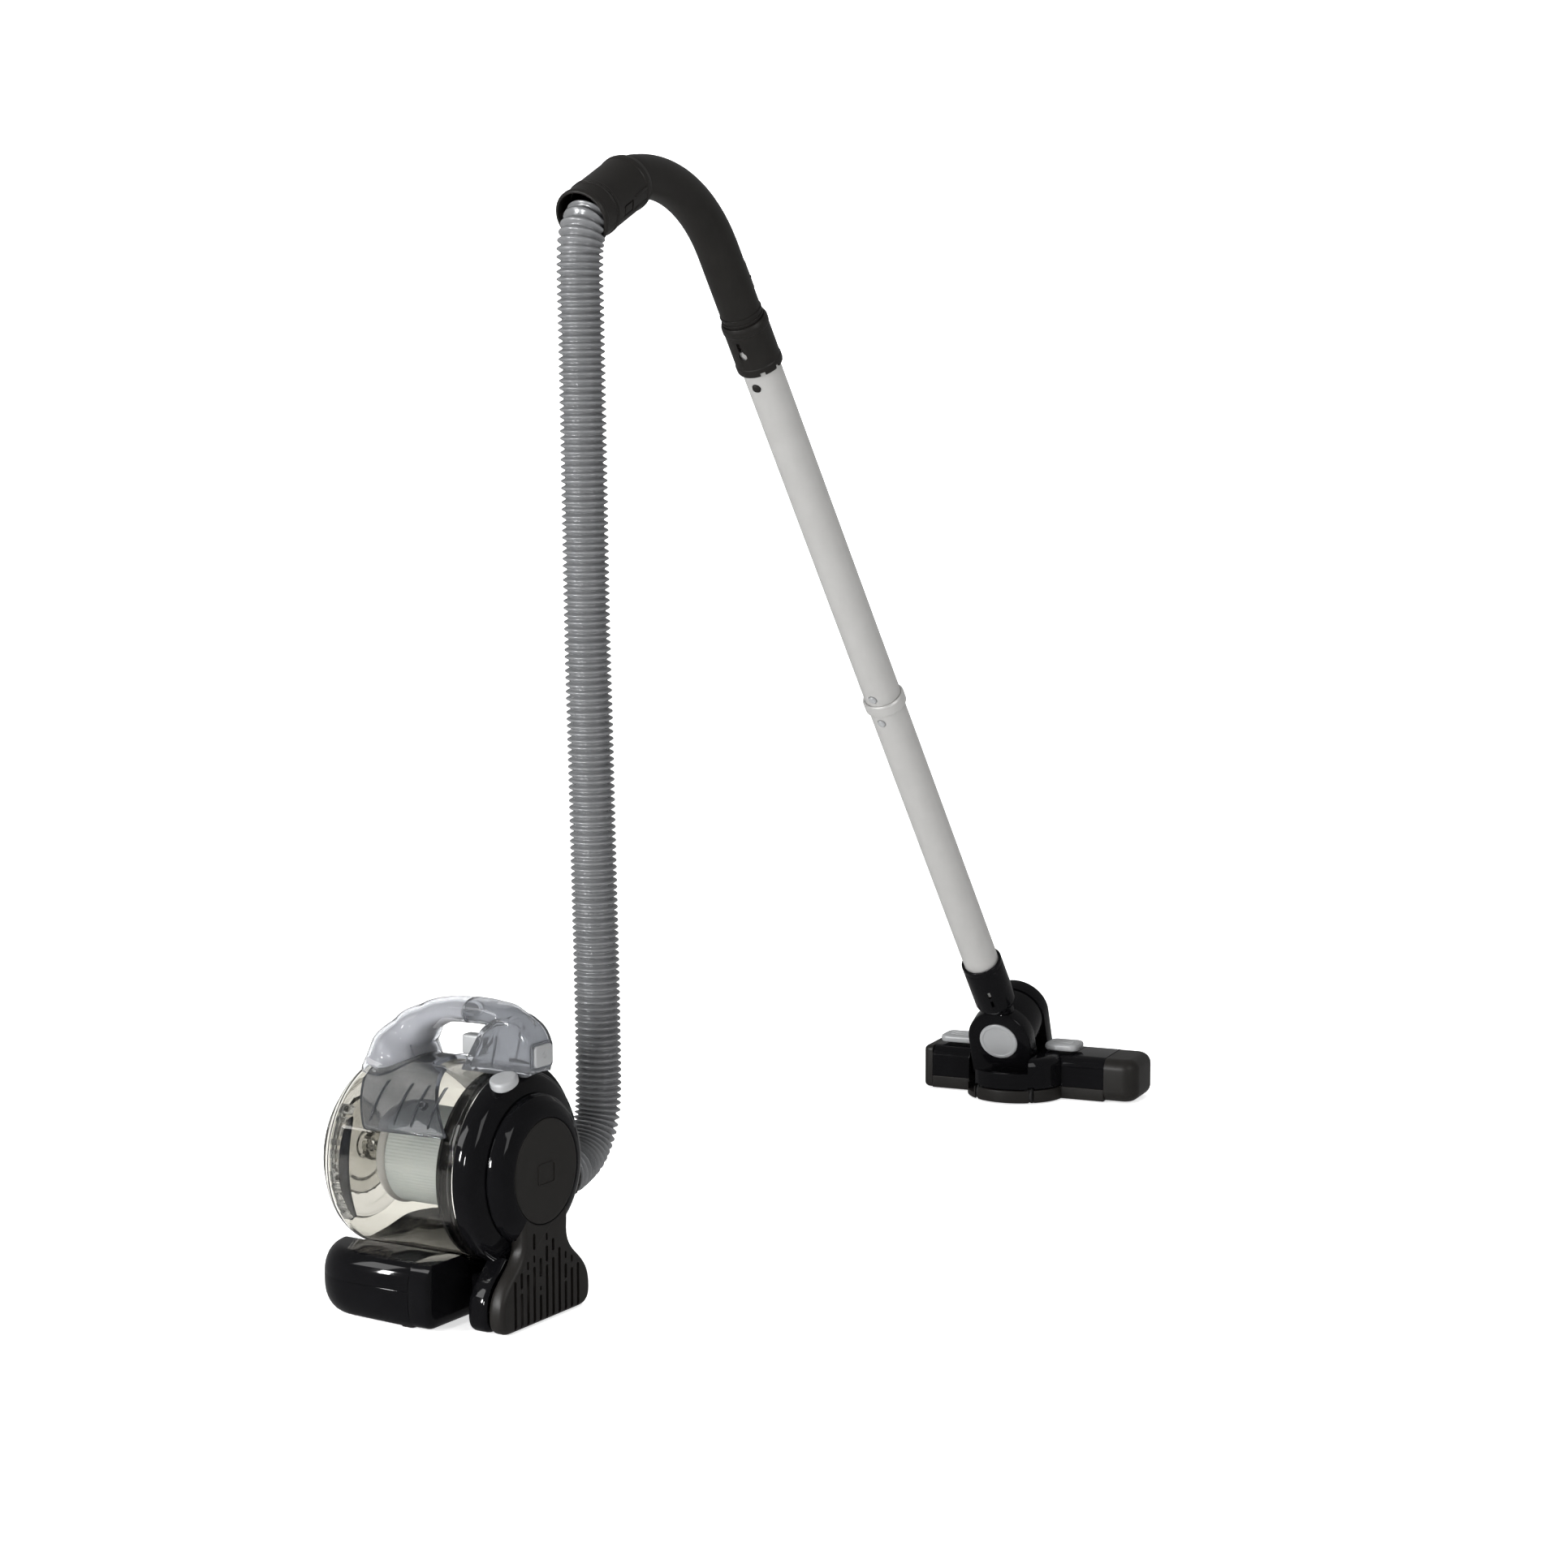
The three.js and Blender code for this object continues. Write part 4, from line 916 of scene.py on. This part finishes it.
def add_cuff():
    lip = turned("cuff_ring", [(0, 21.2), (0, 23), (1.6, 24), (4.6, 24), (5.4, 23.2),
                               (17.6, 23.2), (18.2, 24), (19.6, 24), (19.6, 21.2)], CUFF, 0.6)
    done(lip, "matte_black", "canister", "cuff_ring")


def add_swivel_collar():
    collar = turned("swivel_collar", [
        (20, 20.7), (20, 24), (22.4, 24), (23, 23.4), (66, 23.4), (67, 24), (71, 24), (75.6, 22.6),
        (77, 21.4), (77, 20.3)], CUFF, 0.6)
    windows = []
    for angle in (200, 20):
        spin = CUFF @ turn(math.radians(angle), "Z")
        windows.append(block("window", 21.9, 26, -5, 5, 30, 44, 1, 0.05, spin, 2))
    cut(collar, *windows)
    clips = [block("clip", 21.8, 23.2, -3.6, 3.6, 31.5, 42.5, 1, 0.5,
                   CUFF @ turn(math.radians(angle), "Z"), 3) for angle in (200, 20)]
    ridge = [block("ridge", 22.8, 24, -1.2, 1.2, 48, 66, 0.8, 0.5,
                   CUFF @ turn(math.radians(angle), "Z"), 3) for angle in (186, 214, 6, 34)]
    done(together(collar, *clips, *ridge), "matte_black", "wand", "swivel_collar")


# ---- wand ----
LEAN = (math.sin(WAND_LEAN), math.cos(WAND_LEAN))
TOWARD = WAND @ turn(QUARTER, "X")                    # local Z runs out of the tube's near side
# snap buttons: distance along the wand and moving body
SNAP_BUTTONS = {"wand_button": (811, "wand_catch"), "tube_button_upper": (455, "upper_catch"),
                "tube_button_lower": (426, "lower_catch")}


def wand_point(s):
    return (WAND_X, WAND_FOOT[1] - LEAN[0] * s, WAND_FOOT[2] + LEAN[1] * s)


def add_bent_tube():
    foot = wand_point(941.5)
    middle = (foot[1] - BEND_R * LEAN[1], foot[2] - BEND_R * LEAN[0])
    arc = []
    for k in range(15):
        angle = math.radians(100 - 4.5 * k)
        arc.append((WAND_X, middle[0] + BEND_R * math.cos(angle),
                    middle[1] + BEND_R * math.sin(angle)))
    entry = (WAND_X, arc[0][1] - 20, arc[0][2] - 8.6)
    line, _ = smooth_path([entry, *arc, wand_point(930), wand_point(900),
                           wand_point(SOCKET_HIGH - 20)], 2.0)
    tube = swept("handle_tube", line, [18.1] * len(line), 72, bore=15.6)
    pegs = []
    for s, angle in ((920, 28), (906, -40), (889, 16)):
        spin = WAND @ at(0, 0, s) @ turn(math.radians(90 + angle), "Z") @ turn(QUARTER, "Y")
        pegs.append(turned("peg", rod(17.5, 19.4, 1.6), spin, 0.7, 32))
    rings = [turned("band", ring(s, s + 1.6, 17.9, 18.8), WAND, 0.5) for s in (874.5, 879.5)]
    done(together(tube, *pegs, *rings), "matte_black", "wand", "handle_tube")


def add_slider():
    slider = block("suction_slider", -7, 7, -17, 17, 18.5, 23, 5, 1.8,
                   WAND @ at(0, 0, 903) @ turn(-QUARTER, "X"))
    ribs = [block("rib", -4.6, 4.6, v - 0.7, v + 0.7, 22.4, 23.7, 0.6, 0.4,
                  WAND @ at(0, 0, 903) @ turn(-QUARTER, "X"), 2) for v in (-6, -2, 2, 6)]
    done(together(slider, *ribs), "matte_black", "slider", "suction_slider")


def add_socket():
    socket = turned("wand_socket", [
        (SOCKET_LOW, 18.2), (SOCKET_LOW, 20.4), (SOCKET_LOW + 2, 20.9), (SOCKET_LOW + 7, 20.9),
        (SOCKET_LOW + 8, 20.3), (SOCKET_HIGH - 9, 20.3), (SOCKET_HIGH - 8, 20.9),
        (SOCKET_HIGH - 3, 20.9), (SOCKET_HIGH, 19.8), (SOCKET_HIGH, 18.2)], WAND, 0.5)
    keyhole = block("slot", -2, 2, 846, 860, 15, 26, 1.9, 0.05, TOWARD)
    hole = turned("hole", rod(15, 26, 4), TOWARD @ at(0, 846, 0), 0, 48)
    notches = [block("notch", -2.2, 2.2, -40, 40, SOCKET_LOW - 3, SOCKET_LOW + 3.4, 0.6, 0.05,
                     WAND @ turn(math.radians(angle), "Z"), 2) for angle in (35, 80)]
    cut(socket, keyhole, hole, *notches)
    done(bevelled(socket, 0.25, 2, 50), "matte_black", "wand", "wand_socket")


def button_hole(s):
    return turned("hole", rod(10, 24, 4.3), TOWARD @ at(0, s, 0), 0, 48)


def add_tubes():
    spigot = TUBE_R - 1.8
    holes = [button_hole(s) for s, _ in SNAP_BUTTONS.values()]
    upper = turned("upper_tube", [(398, spigot - 1.4), (398, spigot), (JOINT_S + GAP, spigot),
                                  (JOINT_S + GAP, TUBE_R), (849, TUBE_R), (849, spigot - 1.4)],
                   WAND, 0.4)
    lower = turned("lower_tube", ring(60, JOINT_S, TUBE_R - 1.5, TUBE_R), WAND, 0.4)
    spare = button_hole(SNAP_BUTTONS["tube_button_lower"][0])
    done(cut(upper, *holes), "wand_metal", "wand", "upper_tube")
    done(cut(lower, spare), "wand_metal", "wand", "lower_tube")
    joint = turned("joint_ring", [(435, TUBE_R + 0.2), (435, 19.2), (436, 19.9), (445, 20),
                                  (447, 18.8), (447, TUBE_R + 0.2)], WAND, 0.5)
    done(joint, "wand_metal", "wand", "joint_ring")


def add_snap_buttons():
    for name, (s, body) in SNAP_BUTTONS.items():
        button = turned(name, [(14.8, 0), (14.8, 3.9), (18.2, 3.9), (19.2, 2.6), (19.4, 0)],
                        TOWARD @ at(0, s, 0), 0.8, 48)
        slot = "matte_black" if name == "wand_button" else "silver_plastic"
        done(button, slot, body, name)


# ---- neck and knuckle ----
def add_neck():
    tube = turned("neck", [(14, 0), (14, 16), (34, 16), (42, 20.5), (90, 20.5), (90.6, 20),
                           (92.4, 20), (93, 20.5), (97, 20.5), (97, TUBE_R + 0.3),
                           (58, TUBE_R + 0.3), (58, 0)], WAND, 1.0)
    for side in (-1, 1):
        low, high = sorted((side * (HUB_HALF - 0.1), side * 60))
        cut(tube, turned("cheek", rod(low, high, KNUCKLE_R + 1), ACROSS, 0, 96))
    slots = [block("slot", -1.4, 1.4, 15, 24, 50 + 12 * k, 58 + 12 * k, 0.6, 0.05,
                   WAND @ turn(math.radians(180 + 24), "Z"), 2) for k in range(2)]
    cut(tube, *slots)
    hub = turned("hub", rod(-HUB_HALF, HUB_HALF, KNUCKLE_R - 1.2), ACROSS, 0.8, 128)
    done(together(tube, hub), "gloss_black", "wand", "neck")


def add_knuckle():
    outline = [(-KNUCKLE_R, -42), (KNUCKLE_R, -42)]
    outline += [(KNUCKLE_R * math.cos(math.pi * k / 40), KNUCKLE_R * math.sin(math.pi * k / 40))
                for k in range(41)]
    housing = slab("knuckle_housing", outline, -34, 34, 3.2, ACROSS, 6)
    cut(housing,
        plain_box(-60, 60, -HUB_HALF - 0.4, HUB_HALF + 0.4, -33, 60, KNUCKLE),
        turned("seat", rod(32.4, 40, 20.3), ACROSS, 0, 96),
        turned("bore", rod(-60, 40, 4.4), HEAD @ at(-2, PIVOT_V, PIVOT_Z) @ turn(QUARTER, "Y"),
               0, 48))
    done(bevelled(housing, 0.4, 2, 45), "gloss_black", "knuckle", "knuckle_housing")
    cap = turned("knuckle_cap", [(32.7, 0), (32.7, 19.9), (34.8, 19.9), (35.6, 18.4), (35.6, 16.6),
                                 (35, 15.8), (35.2, 0)], ACROSS, 0.6, 96)
    done(cap, "silver_plastic", "knuckle", "knuckle_cap")


# ---- floor head ----
WHEELS = {"left_wheel": (-40, "roller_left"), "right_wheel": (12, "roller_right")}


def wheel_room(u):
    return plain_box(u - 5.4, u + 5.4, -51.4, -34, -5, 17, HEAD)


def knuckle_room(front, low):
    return plain_box(KNUCKLE_U - 35.2, KNUCKLE_U + 35.2, front, 40, low, 90, HEAD)


def add_sole():
    sole = join(keep(block("sole_plate", -124, 100, HEAD_NEAR, HEAD_FAR, 1, 13.7, 8, 1.2, HEAD),
                     plain_box(HEAD_LEFT, HEAD_RIGHT, -90, 90, 0, 20, HEAD)),
                turned("round", rod(1, 13.7, 50.4), HEAD @ at(ROUND_U, ROUND_V, 0), 1.2, 128))
    cut(sole, knuckle_room(-47, 7), plain_box(-92, 74, 6, 36, -5, 9, HEAD),
        plain_box(-90.6, 76.6, -1.6, 3.6, -5, 12.6, HEAD),
        plain_box(-90.6, 76.6, 38.4, 43.6, -5, 12.6, HEAD),
        *[wheel_room(u) for u, _ in WHEELS.values()])
    done(bevelled(sole, 0.3, 2, 50), "matte_black", "floor_head", "sole_plate")


def add_head_shell():
    top = join(keep(block("head_shell", -124, 100, HEAD_NEAR, HEAD_FAR, 0, 45, 13, 12, HEAD, 10),
                    plain_box(HEAD_LEFT, HEAD_RIGHT, -90, 90, HEAD_SPLIT, 60, HEAD)),
               turned("round", [(HEAD_SPLIT, 0), (HEAD_SPLIT, 49.6), (38, 49.6), (44, 47),
                                (46, 42), (46, 0)],
                      HEAD @ at(ROUND_U, ROUND_V, 0), 3, 128, 6))
    cut(top, knuckle_room(-47, 7), knuckle_room(-70, 31), plain_box(-99, 75, -9, 46, 5, 41, HEAD),
        turned("axle", rod(ROUND_U - 47.5, ROUND_U + 40, 4.4),
               HEAD @ at(0, PIVOT_V, PIVOT_Z) @ turn(QUARTER, "Y"), 0, 48),
        *[wheel_room(u) for u, _ in WHEELS.values()])
    lines = [plain_box(u - 0.35, u + 0.35, -60, 60, 44.3, 50, HEAD) for u in (-70, 44)]
    cut(top, *lines)
    done(bevelled(top, 0.5, 3, 45), "gloss_black", "floor_head", "head_shell")


def add_end_caps():
    left = keep(block("left_end_cap", -114, -80, HEAD_NEAR, HEAD_FAR, 1, 44.6, 6, 5, HEAD, 8),
                plain_box(-130, HEAD_LEFT - GAP, -90, 90, 0, 60, HEAD))
    done(left, "matte_black", "floor_head", "left_end_cap")
    right = keep(block("right_end_cap", 40, 114, HEAD_NEAR, HEAD_FAR, 1, 44.6, 16, 11, HEAD, 10),
                 plain_box(HEAD_RIGHT + GAP, 130, -90, 90, 0, 60, HEAD))
    done(right, "matte_black", "floor_head", "right_end_cap")


def add_axle_and_wheels():
    axle = turned("pivot_axle", rod(ROUND_U - 47, ROUND_U + 38, 4),
                  HEAD @ at(0, PIVOT_V, PIVOT_Z) @ turn(QUARTER, "Y"), 0.5, 48)
    done(axle, "steel", "floor_head", "pivot_axle")
    for name, (u, body) in WHEELS.items():
        wheel = turned(name, [(-4, 0), (-4, 6.3), (-3, 8), (-1, 8), (-0.6, 7.4), (0.6, 7.4),
                              (1, 8), (3, 8), (4, 6.3), (4, 0)],
                       HEAD @ at(u, -43, 8) @ turn(QUARTER, "Y"), 0.4, 64)
        done(wheel, "rubber", body, name)


def add_brushes():
    for name, v in (("rear_brush", 1), ("front_brush", 41)):
        strip = block(name, -90, 76, v - 2, v + 2, 6.4, 9, 0.6, 0.3, HEAD, 2)
        tufts = []
        for k in range(56):
            u = -88.5 + 163 * k / 55 + random.uniform(-0.3, 0.3)
            tufts.append(block("tuft", u - 0.9, u + 0.9, v - 1.6, v + 1.6, 0.6, 6.8, 0.6, 0.3,
                               HEAD, 1))
        done(together(strip, *tufts), "rubber", "brushes", name)


def add_pedals():
    for name, u0, u1 in (("left_pedal", -100, -60), ("right_pedal", 13, 48)):
        pedal = block(name, u0, u1, -6, 26, 47.6, 55, 8, 2.8, HEAD, 7)
        ribs = [block("rib", u0 + 7, u1 - 7, v - 0.8, v + 0.8, 54.6, 55.5, 0.7, 0.4, HEAD, 2)
                for v in (4, 10, 16)]
        done(together(pedal, *ribs), "silver_plastic", "pedals", name)


for add_piece in (
        add_housing, add_rear_cover, add_rear_disc, add_bulkhead, add_motor,
        add_bowl, add_catch_row, add_door, add_filter_wheel, add_filter, add_sleeve,
        add_base, add_feet, add_battery,
        add_hood, add_front_limb, add_liner, add_rear_grip, add_switches, add_latch,
        add_port, add_hose_collar, add_cuff, add_swivel_collar,
        add_bent_tube, add_slider, add_socket, add_tubes, add_snap_buttons,
        add_neck, add_knuckle,
        add_sole, add_head_shell, add_end_caps, add_axle_and_wheels, add_brushes, add_pedals):
    add_piece()


# ---- studio: pale floor, white backdrop and soft lights ----
def flat_paint(name, colour, glow):
    material = bpy.data.materials.new(name)
    material.use_nodes = True
    shader = material.node_tree.nodes["Principled BSDF"]
    noise = material.node_tree.nodes.new("ShaderNodeTexNoise")
    noise.inputs["Scale"].default_value = 3.0
    ramp = material.node_tree.nodes.new("ShaderNodeValToRGB")
    ramp.color_ramp.elements[0].color = (*colour, 1)
    ramp.color_ramp.elements[1].color = (*[min(1, c * 1.02) for c in colour], 1)
    material.node_tree.links.new(noise.outputs["Fac"], ramp.inputs["Fac"])
    material.node_tree.links.new(ramp.outputs["Color"], shader.inputs["Base Color"])
    shader.inputs["Roughness"].default_value = 0.9
    shader.inputs["Emission Color"].default_value = (1, 1, 1, 1)
    shader.inputs["Emission Strength"].default_value = glow
    return material


def lamp(name, place, aim, width, height, power):
    data = bpy.data.lights.new(name, "AREA")
    data.shape = "RECTANGLE"
    data.size = width
    data.size_y = height
    data.energy = power
    light = bpy.data.objects.new(name, data)
    light.location = place
    light.rotation_mode = "QUATERNION"
    light.rotation_quaternion = (Vector(aim) - Vector(place)).to_track_quat("-Z", "Y")
    bpy.context.scene.collection.objects.link(light)
    return light


def add_studio():
    floor_mesh = bmesh.new()
    bmesh.ops.create_circle(floor_mesh, cap_ends=True, radius=12, segments=96)
    floor = to_object("studio_floor", floor_mesh)
    floor.location.z = -0.0004
    floor.data.materials.append(flat_paint("floor_paint", (0.93, 0.93, 0.93), 0.66))
    floor.visible_glossy = False
    wall_mesh = bmesh.new()
    bmesh.ops.create_grid(wall_mesh, x_segments=1, y_segments=1, size=9)
    wall = to_object("studio_wall", wall_mesh)
    wall.location = (-3.6, 6.0, 3.0)
    wall.rotation_mode = "QUATERNION"
    wall.rotation_quaternion = Vector((0.515, -0.857, 0)).to_track_quat("Z", "Y")
    wall.data.materials.append(flat_paint("wall_paint", (0.9, 0.9, 0.9), 1.0))
    wall.visible_glossy = False
    world = bpy.data.worlds.new("studio")
    world.use_nodes = True
    world.node_tree.nodes["Background"].inputs["Color"].default_value = (1, 1, 1, 1)
    world.node_tree.nodes["Background"].inputs["Strength"].default_value = 0.24
    bpy.context.scene.world = world
    heart = (0.0, 0.35, 0.35)
    lamp("overhead", (0.2, 0.2, 3.2), heart, 2.4, 2.4, 44).visible_glossy = False
    lamp("key", (-1.6, -2.2, 2.0), heart, 0.9, 1.2, 26)
    lamp("side", (2.6, -0.4, 1.5), heart, 0.9, 1.4, 16)
    lamp("window_left", (-0.9, -1.9, 0.75), (0.03, 0, 0.12), 0.2, 0.34, 32)
    lamp("window_right", (0.1, -2.3, 0.7), (0.03, 0, 0.12), 0.18, 0.34, 32)
    bpy.context.scene.view_settings.view_transform = "Standard"


add_studio()
